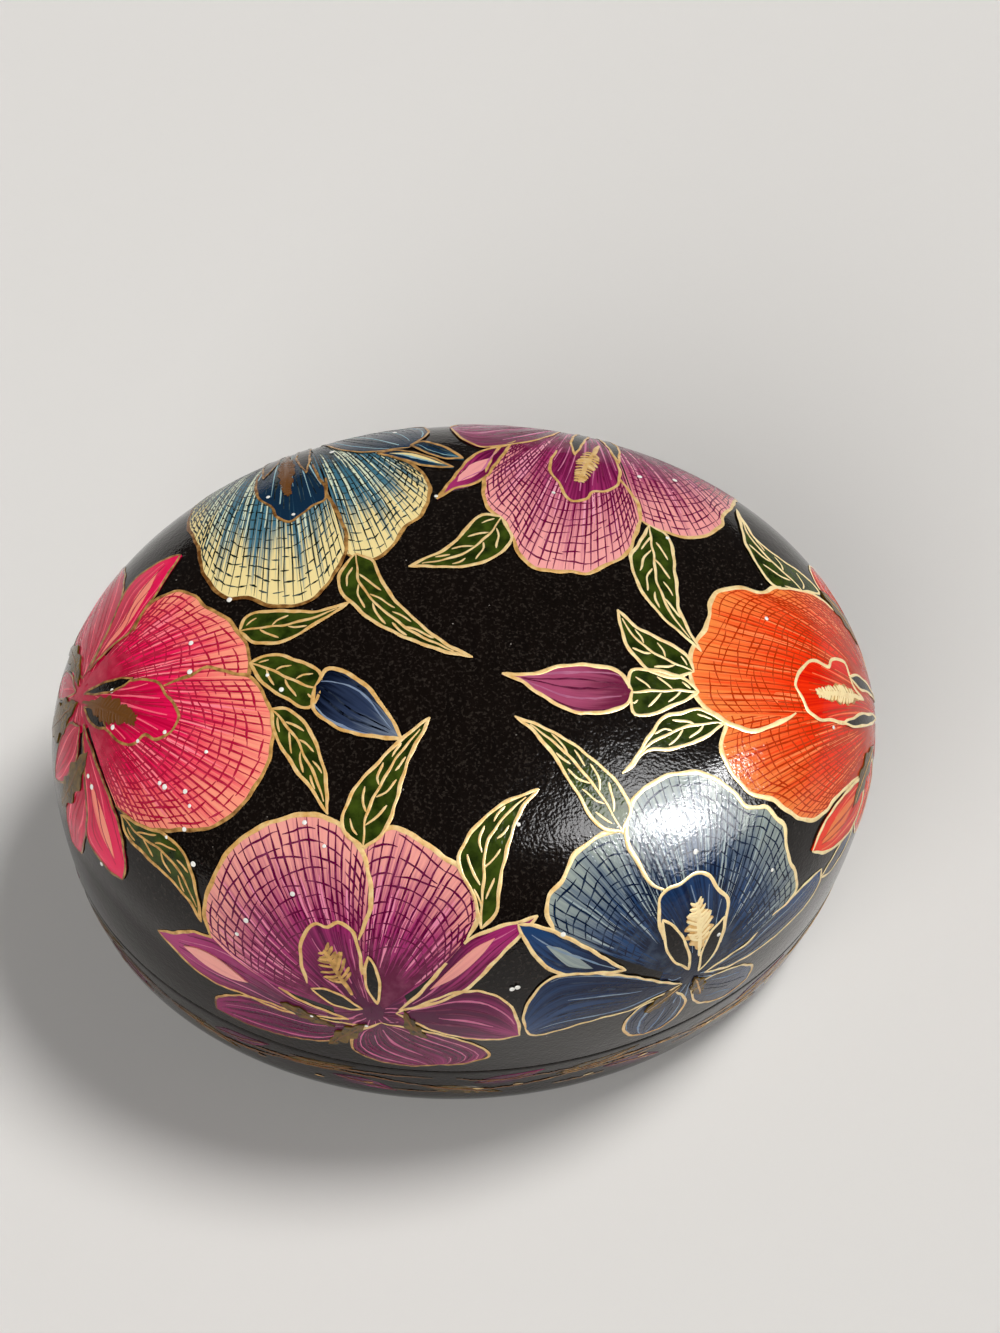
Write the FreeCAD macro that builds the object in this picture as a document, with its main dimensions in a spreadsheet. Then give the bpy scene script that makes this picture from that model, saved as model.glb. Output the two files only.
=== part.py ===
import FreeCAD, Part
import math
import os
import Sketcher
from FreeCAD import Vector

# An oval papier mache trinket box: a domed lid that slips over a collar, and a shallow base.
# Units are millimetres. X runs along the oval, Y across it and Z up from the foot.
# Both shells follow one round profile, drawn for the long axis and then narrowed to the width.

doc = FreeCAD.newDocument("OvalBox")
sheet = doc.addObject("Spreadsheet::Sheet", "sizes")

SIZES = [
    ("length", 100.0, "overall length, across the widest line"),
    ("width", 80.0, "overall width, across the widest line"),
    ("crown_rise", 29.0, "top of the lid above the widest line"),
    ("skirt_drop", 10.8, "widest line down to the seam"),
    ("base_depth", 15.2, "seam down to the foot"),
    ("shoulder_radius", 24.5, "arc between the lid's crown and its widest line"),
    ("side_radius", 117.0, "gentle arc of the side below the widest line"),
    ("foot_radius", 8.0, "arc that turns the side under to the foot"),
    ("foot_sanding", 0.2, "taken off the foot to make it flat"),
    ("lid_wall", 2.8, "wall of the lid"),
    ("base_wall", 3.2, "wall and floor of the base"),
    ("rim_round", 0.5, "rounding of the two rims outside, where they make the seam"),
    ("mouth_chamfer", 0.4, "lead-in inside the lid's mouth"),
    ("collar_thickness", 1.2, "strip of pasted paper that makes the collar"),
    ("collar_rise", 5.5, "collar above the seam"),
    ("collar_seat", 6.0, "collar below the seam, where it is glued in"),
    ("collar_chamfer", 0.35, "eased top edges of the collar"),
    ("slip_clearance", 0.3, "between the collar and the lid's mouth"),
    ("glue_line", 0.1, "between the collar and its seat in the base"),
    ("overrun", 4.0, "how far a cutting form runs past the face it opens"),
]
for row, (alias, value, meaning) in enumerate(SIZES, start=1):
    sheet.set("A%d" % row, alias)
    sheet.set("B%d" % row, str(value))
    sheet.set("C%d" % row, meaning)
    sheet.setAlias("B%d" % row, alias)
doc.recompute()


def size(alias):
    return float(sheet.get(alias))


# Heights above the foot, and the collar's outline, as expressions of the sheet
SEAM = "sizes.base_depth"
WIDEST = "(sizes.base_depth + sizes.skirt_drop)"
# Half the length of the lid's mouth: where the inner side arc meets the seam
MOUTH = ("(sizes.length / 2 - sizes.side_radius"
         " + sqrt((sizes.side_radius - sizes.lid_wall)^2 - sizes.skirt_drop^2))")
LID_HOLLOW_RATIO = "((sizes.width - 2 * sizes.lid_wall) / (sizes.length - 2 * sizes.lid_wall))"
COLLAR_HALF_LENGTH = "(%s - sizes.slip_clearance)" % MOUTH
COLLAR_HALF_WIDTH = "(%s * %s - sizes.slip_clearance)" % (MOUTH, LID_HOLLOW_RATIO)
COLLAR_FOOT = "(sizes.base_depth - sizes.collar_seat)"


def arc(centre_x, centre_z, radius, start, end):
    # start and end are angles in degrees, counter-clockwise from the long axis
    circle = Part.Circle(Vector(centre_x, centre_z, 0), Vector(0, 0, 1), radius)
    return Part.ArcOfCircle(circle, math.radians(start), math.radians(end))


def line(x1, z1, x2, z2):
    return Part.LineSegment(Vector(x1, z1, 0), Vector(x2, z2, 0))


def new_sketch(body, name, plane_role):
    sketch = body.newObject("Sketcher::SketchObject", name)
    plane = [f for f in body.Origin.OriginFeatures if f.Role == plane_role][0]
    sketch.AttachmentSupport = [(plane, "")]
    sketch.MapMode = "FlatFace"
    return sketch


def bind(sketch, name, constraint, expression):
    # adds a dimension, names it and ties it to the sheet
    index = sketch.addConstraint(constraint)
    sketch.renameConstraint(index, name)
    sketch.setExpression("Constraints.%s" % name, expression)


# How a constraint names a point of a curve, the sketch's origin and its upright axis
START, END, CENTRE = 1, 2, 3
ORIGIN, Z_AXIS = -1, -2
# How level an edge must be to count as part of a rim
FLATNESS = 1e-3


def revolve(body, sketch):
    turned = body.newObject("PartDesign::Revolution", sketch.Name + "_turned")
    turned.Profile = sketch
    turned.ReferenceAxis = (sketch, ["V_Axis"])
    turned.Angle = 360
    body.Tip = turned
    return turned


def dome(name, inset, inset_value, mouth, mouth_value):
    # The lid's form down to the height called mouth, drawn inset from the outside
    body = doc.addObject("PartDesign::Body", name)
    sketch = new_sketch(body, name + "_profile", "XZ_Plane")
    half = size("length") / 2
    shoulder, side = size("shoulder_radius"), size("side_radius")
    widest = size("base_depth") + size("skirt_drop")
    rise = size("crown_rise")
    # The crown's centre lies on the axis, where it is tangent inside to the shoulder's arc
    crown = ((half - shoulder) ** 2 + rise ** 2 - shoulder ** 2) / (2 * (rise - shoulder))
    lean = math.degrees(math.atan2(crown - rise, half - shoulder))
    dip = math.degrees(math.asin((widest - mouth_value) / (side - inset_value)))
    mouth_x = half - side + (side - inset_value) * math.cos(math.radians(dip))
    top = widest + rise - inset_value
    crown_arc, shoulder_arc, side_arc, mouth_line, axis_line = sketch.addGeometry([
        arc(0, widest + rise - crown, crown - inset_value, lean, 90),
        arc(half - shoulder, widest, shoulder - inset_value, 0, lean),
        arc(half - side, widest, side - inset_value, -dip, 0),
        line(mouth_x, mouth_value, 0, mouth_value),
        line(0, mouth_value, 0, top)], False)
    sketch.addConstraint([
        Sketcher.Constraint("Tangent", crown_arc, START, shoulder_arc, END),
        Sketcher.Constraint("Tangent", shoulder_arc, START, side_arc, END),
        Sketcher.Constraint("PointOnObject", crown_arc, CENTRE, Z_AXIS),
        Sketcher.Constraint("PointOnObject", crown_arc, END, Z_AXIS),
        Sketcher.Constraint("Horizontal", shoulder_arc, CENTRE, side_arc, CENTRE),
        Sketcher.Constraint("Coincident", side_arc, START, mouth_line, START),
        Sketcher.Constraint("Horizontal", mouth_line),
        Sketcher.Constraint("PointOnObject", mouth_line, END, Z_AXIS),
        Sketcher.Constraint("Coincident", mouth_line, END, axis_line, START),
        Sketcher.Constraint("Coincident", axis_line, END, crown_arc, END)])
    bind(sketch, "widest_height",
         Sketcher.Constraint("DistanceY", ORIGIN, START, shoulder_arc, CENTRE, widest), WIDEST)
    bind(sketch, "half_length",
         Sketcher.Constraint("DistanceX", ORIGIN, START, shoulder_arc, START, half - inset_value),
         "sizes.length / 2 - %s" % inset)
    bind(sketch, "shoulder",
         Sketcher.Constraint("Radius", shoulder_arc, shoulder - inset_value),
         "sizes.shoulder_radius - %s" % inset)
    bind(sketch, "side",
         Sketcher.Constraint("Radius", side_arc, side - inset_value),
         "sizes.side_radius - %s" % inset)
    bind(sketch, "top_height",
         Sketcher.Constraint("DistanceY", ORIGIN, START, crown_arc, END, top),
         "%s + sizes.crown_rise - %s" % (WIDEST, inset))
    bind(sketch, "mouth_height",
         Sketcher.Constraint("DistanceY", ORIGIN, START, side_arc, START, mouth_value), mouth)
    revolve(body, sketch)
    return narrowed(body, inset)


def bowl(name, inset, inset_value, floor, floor_value, mouth, mouth_value):
    # The base's form between the heights called floor and mouth, drawn inset from the outside
    body = doc.addObject("PartDesign::Body", name)
    sketch = new_sketch(body, name + "_profile", "XZ_Plane")
    half, side = size("length") / 2, size("side_radius")
    foot = size("foot_radius") - inset_value
    widest = size("base_depth") + size("skirt_drop")
    # The foot's arc is tangent inside to the side's arc, and its centre lies one radius up
    foot_z = floor_value + foot
    dip = math.degrees(math.asin((widest - foot_z) / (side - inset_value - foot)))
    foot_x = half - side + (side - inset_value - foot) * math.cos(math.radians(dip))
    mouth_dip = math.degrees(math.asin((widest - mouth_value) / (side - inset_value)))
    mouth_x = half - side + (side - inset_value) * math.cos(math.radians(mouth_dip))
    side_arc, foot_arc, floor_line, axis_line, mouth_line = sketch.addGeometry([
        arc(half - side, widest, side - inset_value, -dip, -mouth_dip),
        arc(foot_x, foot_z, foot, -90, -dip),
        line(foot_x, floor_value, 0, floor_value),
        line(0, floor_value, 0, mouth_value),
        line(0, mouth_value, mouth_x, mouth_value)], False)
    sketch.addConstraint([
        Sketcher.Constraint("Tangent", side_arc, START, foot_arc, END),
        Sketcher.Constraint("Tangent", foot_arc, START, floor_line, START),
        Sketcher.Constraint("Horizontal", floor_line),
        Sketcher.Constraint("PointOnObject", floor_line, END, Z_AXIS),
        Sketcher.Constraint("Coincident", floor_line, END, axis_line, START),
        Sketcher.Constraint("PointOnObject", axis_line, END, Z_AXIS),
        Sketcher.Constraint("Coincident", axis_line, END, mouth_line, START),
        Sketcher.Constraint("Horizontal", mouth_line),
        Sketcher.Constraint("Coincident", mouth_line, END, side_arc, END)])
    bind(sketch, "side_centre",
         Sketcher.Constraint("DistanceX", side_arc, CENTRE, ORIGIN, START, side - half),
         "sizes.side_radius - sizes.length / 2")
    bind(sketch, "widest_height",
         Sketcher.Constraint("DistanceY", ORIGIN, START, side_arc, CENTRE, widest), WIDEST)
    bind(sketch, "side",
         Sketcher.Constraint("Radius", side_arc, side - inset_value),
         "sizes.side_radius - %s" % inset)
    bind(sketch, "foot",
         Sketcher.Constraint("Radius", foot_arc, foot),
         "sizes.foot_radius - %s" % inset)
    bind(sketch, "floor_drop",
         Sketcher.Constraint("DistanceY", floor_line, START, side_arc, CENTRE, widest - floor_value),
         "%s - %s" % (WIDEST, floor))
    bind(sketch, "mouth_height",
         Sketcher.Constraint("DistanceY", ORIGIN, START, side_arc, END, mouth_value), mouth)
    revolve(body, sketch)
    return narrowed(body, inset)


def narrowed(body, inset):
    # Narrows a round form to the oval plan, so that a wall is as thick at the sides as at the ends
    oval = doc.addObject("Part::Scale", body.Name + "_oval")
    oval.Base = body
    oval.Uniform = False
    oval.setExpression("YScale", "(sizes.width - 2 * %s) / (sizes.length - 2 * %s)" % (inset, inset))
    return oval


def oval_prism(name, half_length, half_width, bottom, height):
    outline = doc.addObject("Part::Ellipse", name + "_outline")
    outline.setExpression("MajorRadius", half_length)
    outline.setExpression("MinorRadius", half_width)
    outline.setExpression("Placement.Base.z", bottom)
    prism = doc.addObject("Part::Extrusion", name)
    prism.Base = outline
    prism.DirMode = "Normal"
    prism.Solid = True
    prism.setExpression("LengthFwd", height)
    return prism


def cut(name, base, tool):
    result = doc.addObject("Part::Cut", name)
    result.Base = base
    result.Tool = tool
    return result


def rim_edges(base, height):
    # Numbers of the edges that lie flat at one height, the outermost first
    doc.recompute()
    flat = [(edge.Length, number) for number, edge in enumerate(base.Shape.Edges, start=1)
            if abs(edge.BoundBox.ZMin - height) < FLATNESS and abs(edge.BoundBox.ZMax - height) < FLATNESS]
    return [number for length, number in sorted(flat, reverse=True)]


def eased(kind, name, base, edges, amount):
    # kind is Part::Fillet for a rounded edge or Part::Chamfer for a bevelled one
    result = doc.addObject(kind, name)
    result.Base = base
    result.Edges = [(number, amount, amount) for number in edges]
    return result


seam_height = size("base_depth")
collar_top = seam_height + size("collar_rise")

# Lid: the dome, hollowed to an even wall, rounded outside and bevelled inside at its rim
lid_form = dome("lid_form", "0", 0, SEAM, seam_height)
lid_hollow = dome("lid_hollow", "sizes.lid_wall", size("lid_wall"),
                  "%s - sizes.overrun" % SEAM, seam_height - size("overrun"))
lid_cut = cut("lid_cut", lid_form, lid_hollow)
lid_rounded = eased("Part::Fillet", "lid_rounded", lid_cut,
                    rim_edges(lid_cut, seam_height)[:1], size("rim_round"))
lid = eased("Part::Chamfer", "lid", lid_rounded,
            rim_edges(lid_rounded, seam_height)[-1:], size("mouth_chamfer"))
lid.Label = "lid_shell"

# Base: the bowl, sanded flat at its foot and hollowed, with a seat cut for the collar
base_form = bowl("base_form", "0", 0, "(-sizes.foot_sanding)", -size("foot_sanding"), SEAM, seam_height)
sanding = doc.addObject("Part::Box", "sanding")
sanding.setExpression("Length", "sizes.length")
sanding.setExpression("Width", "sizes.width")
sanding.setExpression("Height", "sizes.overrun")
sanding.setExpression("Placement.Base.x", "-sizes.length / 2")
sanding.setExpression("Placement.Base.y", "-sizes.width / 2")
sanding.setExpression("Placement.Base.z", "-sizes.overrun")
base_hollow = bowl("base_hollow", "sizes.base_wall", size("base_wall"),
                   "sizes.base_wall", size("base_wall"),
                   "%s + sizes.overrun" % SEAM, seam_height + size("overrun"))
collar_space = oval_prism("collar_space", COLLAR_HALF_LENGTH + " + sizes.glue_line",
                          COLLAR_HALF_WIDTH + " + sizes.glue_line",
                          COLLAR_FOOT, "sizes.collar_seat + sizes.overrun")
base_cut = cut("base_seated", cut("base_hollowed", cut("base_sanded", base_form, sanding), base_hollow),
               collar_space)
base = eased("Part::Fillet", "base", base_cut, rim_edges(base_cut, seam_height)[:1], size("rim_round"))
base.Label = "base_shell"

# Collar: an oval strip that stands on the seat and up into the lid, with its top edges eased
collar_height = "sizes.collar_seat + sizes.collar_rise"
collar_outside = oval_prism("collar_outside", COLLAR_HALF_LENGTH, COLLAR_HALF_WIDTH,
                            COLLAR_FOOT, collar_height)
collar_inside = oval_prism("collar_inside", COLLAR_HALF_LENGTH + " - sizes.collar_thickness",
                           COLLAR_HALF_WIDTH + " - sizes.collar_thickness",
                           COLLAR_FOOT + " - sizes.overrun", collar_height + " + 2 * sizes.overrun")
collar_cut = cut("collar_cut", collar_outside, collar_inside)
collar = eased("Part::Chamfer", "collar_strip", collar_cut,
               rim_edges(collar_cut, collar_top), size("collar_chamfer"))
collar.Label = "collar"

doc.recompute()
for item in doc.Objects:
    if "Invalid" in item.State or "Error" in item.State:
        raise RuntimeError("%s did not build: %s" % (item.Name, item.State))

os.makedirs("parts", exist_ok=True)
for piece in (lid, base, collar):
    shape = piece.Shape
    if shape.isNull() or not shape.isValid() or len(shape.Solids) != 1:
        raise RuntimeError("%s is not one valid solid" % piece.Label)
    shape.exportStep("parts/%s.step" % piece.Label)
    box = shape.optimalBoundingBox()
    print("%-10s volume %8.1f mm3, z %.2f to %.2f, %.2f by %.2f mm"
          % (piece.Label, shape.Volume, box.ZMin, box.ZMax, box.XLength, box.YLength))
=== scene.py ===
# %% [markdown]
# An oval papier mache trinket box
#
# The real thing is pasted paper, dried on an oval mould, sanded, painted black, decorated with
# big hibiscus flowers in enamel-like colours with gold outlines, and varnished to a gloss.
# It has two bodies: the lid lifts straight up off a collar that is glued into the base.
#
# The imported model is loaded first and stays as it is. Everything below is made in its frame,
# in metres, and rides on one of its two bodies.

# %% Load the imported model
import math

import bpy
import numpy as np
from mathutils import Matrix, Vector


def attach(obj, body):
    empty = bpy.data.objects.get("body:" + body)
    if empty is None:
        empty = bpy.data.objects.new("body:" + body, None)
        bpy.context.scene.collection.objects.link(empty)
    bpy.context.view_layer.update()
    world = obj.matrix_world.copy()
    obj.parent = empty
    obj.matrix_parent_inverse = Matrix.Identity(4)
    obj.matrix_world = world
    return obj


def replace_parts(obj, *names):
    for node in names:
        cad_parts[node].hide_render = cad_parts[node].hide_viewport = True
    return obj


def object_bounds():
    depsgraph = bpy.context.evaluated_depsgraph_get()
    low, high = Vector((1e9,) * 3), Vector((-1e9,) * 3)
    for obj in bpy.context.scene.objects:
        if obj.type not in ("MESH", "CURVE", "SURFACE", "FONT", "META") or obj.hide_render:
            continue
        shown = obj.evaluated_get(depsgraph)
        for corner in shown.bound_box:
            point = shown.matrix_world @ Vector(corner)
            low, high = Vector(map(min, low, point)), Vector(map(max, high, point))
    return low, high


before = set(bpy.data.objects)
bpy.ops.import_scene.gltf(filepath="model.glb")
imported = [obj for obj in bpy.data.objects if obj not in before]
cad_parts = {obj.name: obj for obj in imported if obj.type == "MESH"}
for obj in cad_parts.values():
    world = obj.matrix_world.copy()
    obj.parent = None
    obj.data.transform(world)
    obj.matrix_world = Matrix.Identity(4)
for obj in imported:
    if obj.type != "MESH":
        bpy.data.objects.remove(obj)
cad_low, cad_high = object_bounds()
MM = 0.001
print("CAD box, mm:", [round(v / MM, 2) for v in (*cad_low, *cad_high)])

# %% [markdown]
# The camera
#
# The picture is seen from above and in front, slightly from the left, with the camera rolled
# a little. The camera could be placed by eye. Here its angles and distance come from fitting the
# box's own outline, so they are plain numbers: two angles, a roll, a distance and an aim.

# %% Camera
AZIMUTH, ELEVATION, ROLL = (math.radians(a) for a in (8.8964, 57.3148, -4.5738))
DISTANCE = 353.78 * MM
AIM_RIGHT, AIM_UP, AIM_HEIGHT = 3.485 * MM, 8.885 * MM, 26 * MM
FOCAL_PIXELS, IMAGE_HEIGHT, SENSOR = 2900, 1333, 36

right = Vector((1, 0, 0))
back = Vector((0, -math.cos(ELEVATION), math.sin(ELEVATION)))
up = back.cross(right)
turn = Matrix.Rotation(-AZIMUTH, 3, "Z")
camera_x = math.cos(ROLL) * right - math.sin(ROLL) * up
camera_y = math.sin(ROLL) * right + math.cos(ROLL) * up
eye = turn @ (back * DISTANCE + right * AIM_RIGHT + up * AIM_UP) + Vector((0, 0, AIM_HEIGHT))

camera_data = bpy.data.cameras.new("camera")
camera_data.sensor_width = SENSOR
camera_data.lens = FOCAL_PIXELS * SENSOR / IMAGE_HEIGHT
camera = bpy.data.objects.new("camera", camera_data)
axes = (turn @ camera_x, turn @ camera_y, turn @ back)
camera.matrix_world = Matrix.Translation(eye) @ Matrix(axes).transposed().to_4x4()
bpy.context.collection.objects.link(camera)
bpy.context.scene.camera = camera
bpy.context.scene.view_settings.view_transform = "Standard"
print("lens %.1f mm, eye at %s mm" % (camera_data.lens, [round(v / MM, 1) for v in eye]))

# %% [markdown]
# One small helper for nodes, and one for colours
#
# Geometry and material trees are both built in code. One function adds a node, sets its
# properties and fills or links its inputs, and that is enough for every tree in this file. An
# input takes a plain value, a socket, or a node, which stands for the first of its outputs in
# use. Colours are written as the sRGB hex values that the eye knows, and turned to linear light
# here.


# %% Node and colour helpers
def add(tree, kind, inputs=None, **settings):
    made = tree.nodes.new(kind)
    for name, value in settings.items():
        setattr(made, name, value)
    for key, value in (inputs or {}).items():
        if isinstance(value, bpy.types.Node):
            value = next(socket for socket in value.outputs if socket.enabled)
        if isinstance(value, bpy.types.NodeSocket):
            tree.links.new(value, made.inputs[key])
        else:
            made.inputs[key].default_value = value
    return made


def linear(hex_colour):
    channels = [int(hex_colour[i:i + 2], 16) / 255 for i in (1, 3, 5)]
    return tuple(c / 12.92 if c <= 0.04045 else ((c + 0.055) / 1.055) ** 2.4 for c in channels) + (1,)


print("mid grey in linear light: %.3f" % linear("#808080")[0])

# %% [markdown]
# The oval form
#
# The mould is one round profile, drawn for the long axis and then narrowed to the width: a flat
# crown, a rounder shoulder, and a side that draws in gently below the widest line. The ornament
# has to lie on that form wherever it goes, so the form is written once, as a map from a flat
# drawing to the dome. A point of the drawing keeps its direction from the top, and its distance
# is measured along the profile, as a tape laid over the box would measure it.


# %% The profile of the mould
HALF_LENGTH, NARROW = 50, 0.8
WIDEST, RISE, SEAM = 26, 29, 15.2
SHOULDER, SIDE = 24.5, 117
CROWN = ((HALF_LENGTH - SHOULDER) ** 2 + RISE ** 2 - SHOULDER ** 2) / (2 * (RISE - SHOULDER))
LEAN = math.atan2(CROWN - RISE, HALF_LENGTH - SHOULDER)
CROWN_END = CROWN * (math.pi / 2 - LEAN)
WIDEST_AT = CROWN_END + SHOULDER * LEAN


def profile(tape):
    # distance over the dome from its top, mm, to radius, height and outward direction
    tape = np.asarray(tape, float)
    angle = np.select(
        [tape < CROWN_END, tape < WIDEST_AT],
        [math.pi / 2 - tape / CROWN, LEAN - (tape - CROWN_END) / SHOULDER],
        -(tape - WIDEST_AT) / SIDE)
    radius = np.select([tape < CROWN_END, tape < WIDEST_AT], [CROWN, SHOULDER], SIDE)
    centre_r = np.select([tape < CROWN_END], [0], HALF_LENGTH - radius)
    centre_z = np.select([tape < CROWN_END], [WIDEST + RISE - CROWN], WIDEST)
    out_r, out_z = np.cos(angle), np.sin(angle)
    return centre_r + radius * out_r, centre_z + radius * out_z, out_r, out_z


print("tape from the top to the widest line: %.1f mm" % WIDEST_AT)


# %% The map from the flat drawing to the dome
def on_oval(plan, lift=0.0):
    # flat drawing, mm, to points on the box and their outward directions
    plan = np.asarray(plan, float)
    u, v = plan[..., 0], plan[..., 1] / NARROW
    tape = np.maximum(np.hypot(u, v), 1e-6)
    radius, height, out_r, out_z = profile(tape)
    points = np.stack([u / tape * radius, v / tape * radius * NARROW, height], -1)
    facing = np.stack([u / tape * out_r * NARROW, v / tape * out_r, out_z * NARROW], -1)
    facing /= np.linalg.norm(facing, axis=-1, keepdims=True)
    return points + facing * np.asarray(lift, float)[..., None], facing


print("top of the form: %.1f mm, CAD: %.1f mm" % (on_oval([0, 0])[0][2], cad_high.z / MM))

# %% [markdown]
# Light
#
# A soft key light comes from behind on the right, and a weaker, much softer fill from the front
# left. Together they show the colours about as they are written. Lamps near the box would do,
# but they fade across the floor, so both are far lights with a wide disc. A gloss varnish would
# show them as spots, so they are kept out of reflections, and the highlight has lamps of its
# own: a softbox, a dimmer tall panel round it, and a narrow one beside it. These could be pushed
# about until the highlight sits on the lid's shoulder. It is quicker to ask where a mirror at
# that spot looks: along the line to the camera, folded about the outward direction.

# %% Far lights and softboxes
HIGHLIGHT, BESIDE = (21.4, -25.8), (27.2, -20.6)
SOFTBOX_DISTANCE = 620
# name, where its reflection lies on the flat drawing, width and height in mm, power
SOFTBOXES = (("softbox", HIGHLIGHT, 110, 240, 6.0), ("glow", HIGHLIGHT, 300, 640, 8.0),
             ("glint", BESIDE, 60, 150, 1.6))
# name, direction towards it, width of its disc in degrees, strength
FAR_LIGHTS = (("key", (0.40, 0.22, 0.88), 18, 2.4), ("fill", (-0.45, -0.68, 0.58), 42, 1.65))


def put_light(name, kind, towards, place, strength):
    data = bpy.data.lights.new(name, kind)
    data.energy = strength
    light = bpy.data.objects.new(name, data)
    light.location = place
    light.rotation_euler = towards.to_track_quat("Z", "Y").to_euler()
    bpy.context.collection.objects.link(light)
    return light


for name, place, width, height, power in SOFTBOXES:
    spot, spot_facing = (Vector(p) for p in on_oval(place))
    to_eye = (eye - spot * MM).normalized()
    mirrored = 2 * spot_facing.dot(to_eye) * spot_facing - to_eye
    lamp = put_light(name, "AREA", mirrored, (spot + mirrored * SOFTBOX_DISTANCE) * MM, power)
    lamp.data.shape = "RECTANGLE"
    lamp.data.size, lamp.data.size_y = width * MM, height * MM
    lamp.visible_diffuse = False
    print(name, "towards", [round(v, 2) for v in mirrored])
for name, towards, disc, strength in FAR_LIGHTS:
    towards = Vector(towards).normalized()
    lamp = put_light(name, "SUN", towards, towards, strength)
    lamp.data.angle = math.radians(disc)
    lamp.visible_glossy = False

# %% [markdown]
# Floor and room
#
# A plain pale floor carries the box and its shadow, and a dim even world stands for the rest of
# the room. A curved backdrop is the studio's other way, but it would show in views from the
# side, so the floor is simply very large.

# %% Floor and world
FLOOR_SIZE, FLOOR_ROUGHNESS, ROOM_LIGHT = 40.0, 0.8, 0.06

world = bpy.data.worlds.new("room")
world.use_nodes = True
room = world.node_tree.nodes["Background"].inputs
room["Color"].default_value = (1, 1, 1, 1)
room["Strength"].default_value = ROOM_LIGHT
bpy.context.scene.world = world

half = FLOOR_SIZE / 2
floor_mesh = bpy.data.meshes.new("floor")
corners = [(-half, -half, 0), (half, -half, 0), (half, half, 0), (-half, half, 0)]
floor_mesh.from_pydata(corners, [], [(0, 1, 2, 3)])
floor = bpy.data.objects.new("floor", floor_mesh)
bpy.context.collection.objects.link(floor)
# The eye sees a dead matt surface of one pale warm grey, as a painted board has
floor_paint = bpy.data.materials.new("matt_floor_paint")
floor_paint.use_nodes = True
floor_shader = floor_paint.node_tree.nodes["Principled BSDF"].inputs
floor_shader["Base Color"].default_value = linear("#d9d6d2")
floor_shader["Roughness"].default_value = FLOOR_ROUGHNESS
floor_shader["Specular IOR Level"].default_value = 0.0
floor_mesh.materials.append(floor_paint)
print("floor %.0f m wide" % FLOOR_SIZE)

# %% [markdown]
# Growing a mesh from a node tree
#
# Where a shape follows a rule, the rule is a Geometry Nodes tree with named inputs. A tree is
# run by a modifier on an object, and its inputs are set by their identifiers before the first
# evaluation. The result is copied out as a plain mesh, so nothing live is left on a piece.


# %% Start a tree and end it
def new_tree(name, inputs):
    tree = bpy.data.node_groups.new(name, "GeometryNodeTree")
    tree.interface.new_socket("Geometry", in_out="OUTPUT", socket_type="NodeSocketGeometry")
    for label, kind in (("Lines", "Geometry"), *inputs):
        tree.interface.new_socket(label, in_out="INPUT", socket_type="NodeSocket" + kind)
    return tree, add(tree, "NodeGroupInput").outputs


def end_tree(tree, geometry, finish):
    real = add(tree, "GeometryNodeRealizeInstances", {0: geometry})
    finished = add(tree, "GeometryNodeSetMaterial", {0: real, "Material": finish})
    add(tree, "NodeGroupOutput", {0: finished})
    print(tree.name, "tree:", len(tree.nodes), "nodes")


# %% Run a tree, and make a piece of a mesh
# edges that turn by more than this many degrees stay sharp
FACET = 40


def mark(mesh, label, values):
    # stores a number or a direction with each point of a mesh
    values = np.array(values, np.float32)
    kind, key = ("FLOAT_VECTOR", "vector") if values.ndim == 2 else ("FLOAT", "value")
    mesh.attributes.new(label, kind, "POINT").data.foreach_set(key, values.ravel())


def new_object(name, mesh):
    made = bpy.data.objects.new(name, mesh)
    bpy.context.collection.objects.link(made)
    return made


def grow(name, tree, source, values):
    worker = new_object(name + "_source", source)
    modifier = worker.modifiers.new("grow", "NODES")
    modifier.node_group = tree
    identifiers = {i.name: i.identifier for i in tree.interface.items_tree if i.in_out == "INPUT"}
    for label, value in values.items():
        modifier[identifiers[label]] = value
    evaluated = worker.evaluated_get(bpy.context.evaluated_depsgraph_get())
    mesh = bpy.data.meshes.new_from_object(evaluated)
    bpy.data.objects.remove(worker)
    mesh.name = name
    return mesh


def finish_piece(name, mesh, body, facet=FACET):
    mesh.set_sharp_from_angle(angle=math.radians(facet))
    piece = new_object(name, mesh)
    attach(piece, body)
    mesh.calc_loop_triangles()
    print("%s: %d triangles" % (name, len(mesh.loop_triangles)))
    return piece


# %% [markdown]
# Turned oval shells
#
# Lid, base and collar are pressed or pasted round an oval mould, so each is one section carried
# round the oval. They could be built ring by ring in Python. A lathe tree says the rule better:
# a grid has one row for each point of the section and one column for each turn, and each grid
# point asks the section for its radius, height and narrowing. The inside of the wall narrows
# more than the outside, so that the wall stays as thick at the sides as at the ends.

# %% The lathe tree
# points nearer than this, in metres, become one
WELD = 1e-6
oval_tree, given = new_tree("turned_oval", [
    ("Section", "Object"), ("Turns", "Int"), ("Finish", "Material"), ("Inside", "Material")])
section = add(oval_tree, "GeometryNodeObjectInfo", {"Object": given["Section"]}).outputs["Geometry"]
size = add(oval_tree, "GeometryNodeAttributeDomainSize", {0: section}).outputs["Point Count"]
columns = add(oval_tree, "ShaderNodeMath", {0: given["Turns"], 1: 1}, operation="ADD")
grid = add(oval_tree, "GeometryNodeMeshGrid", {"Vertices X": size, "Vertices Y": columns})
index = add(oval_tree, "GeometryNodeInputIndex")
row = add(oval_tree, "ShaderNodeMath", {0: index, 1: columns}, operation="DIVIDE")
row = add(oval_tree, "ShaderNodeMath", {0: row}, operation="FLOOR")
column = add(oval_tree, "ShaderNodeMath", {0: index, 1: columns}, operation="MODULO")
share = add(oval_tree, "ShaderNodeMath", {0: column, 1: given["Turns"]}, operation="DIVIDE")
angle = add(oval_tree, "ShaderNodeMath", {0: share, 1: math.tau}, operation="MULTIPLY")
asked = {}
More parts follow.
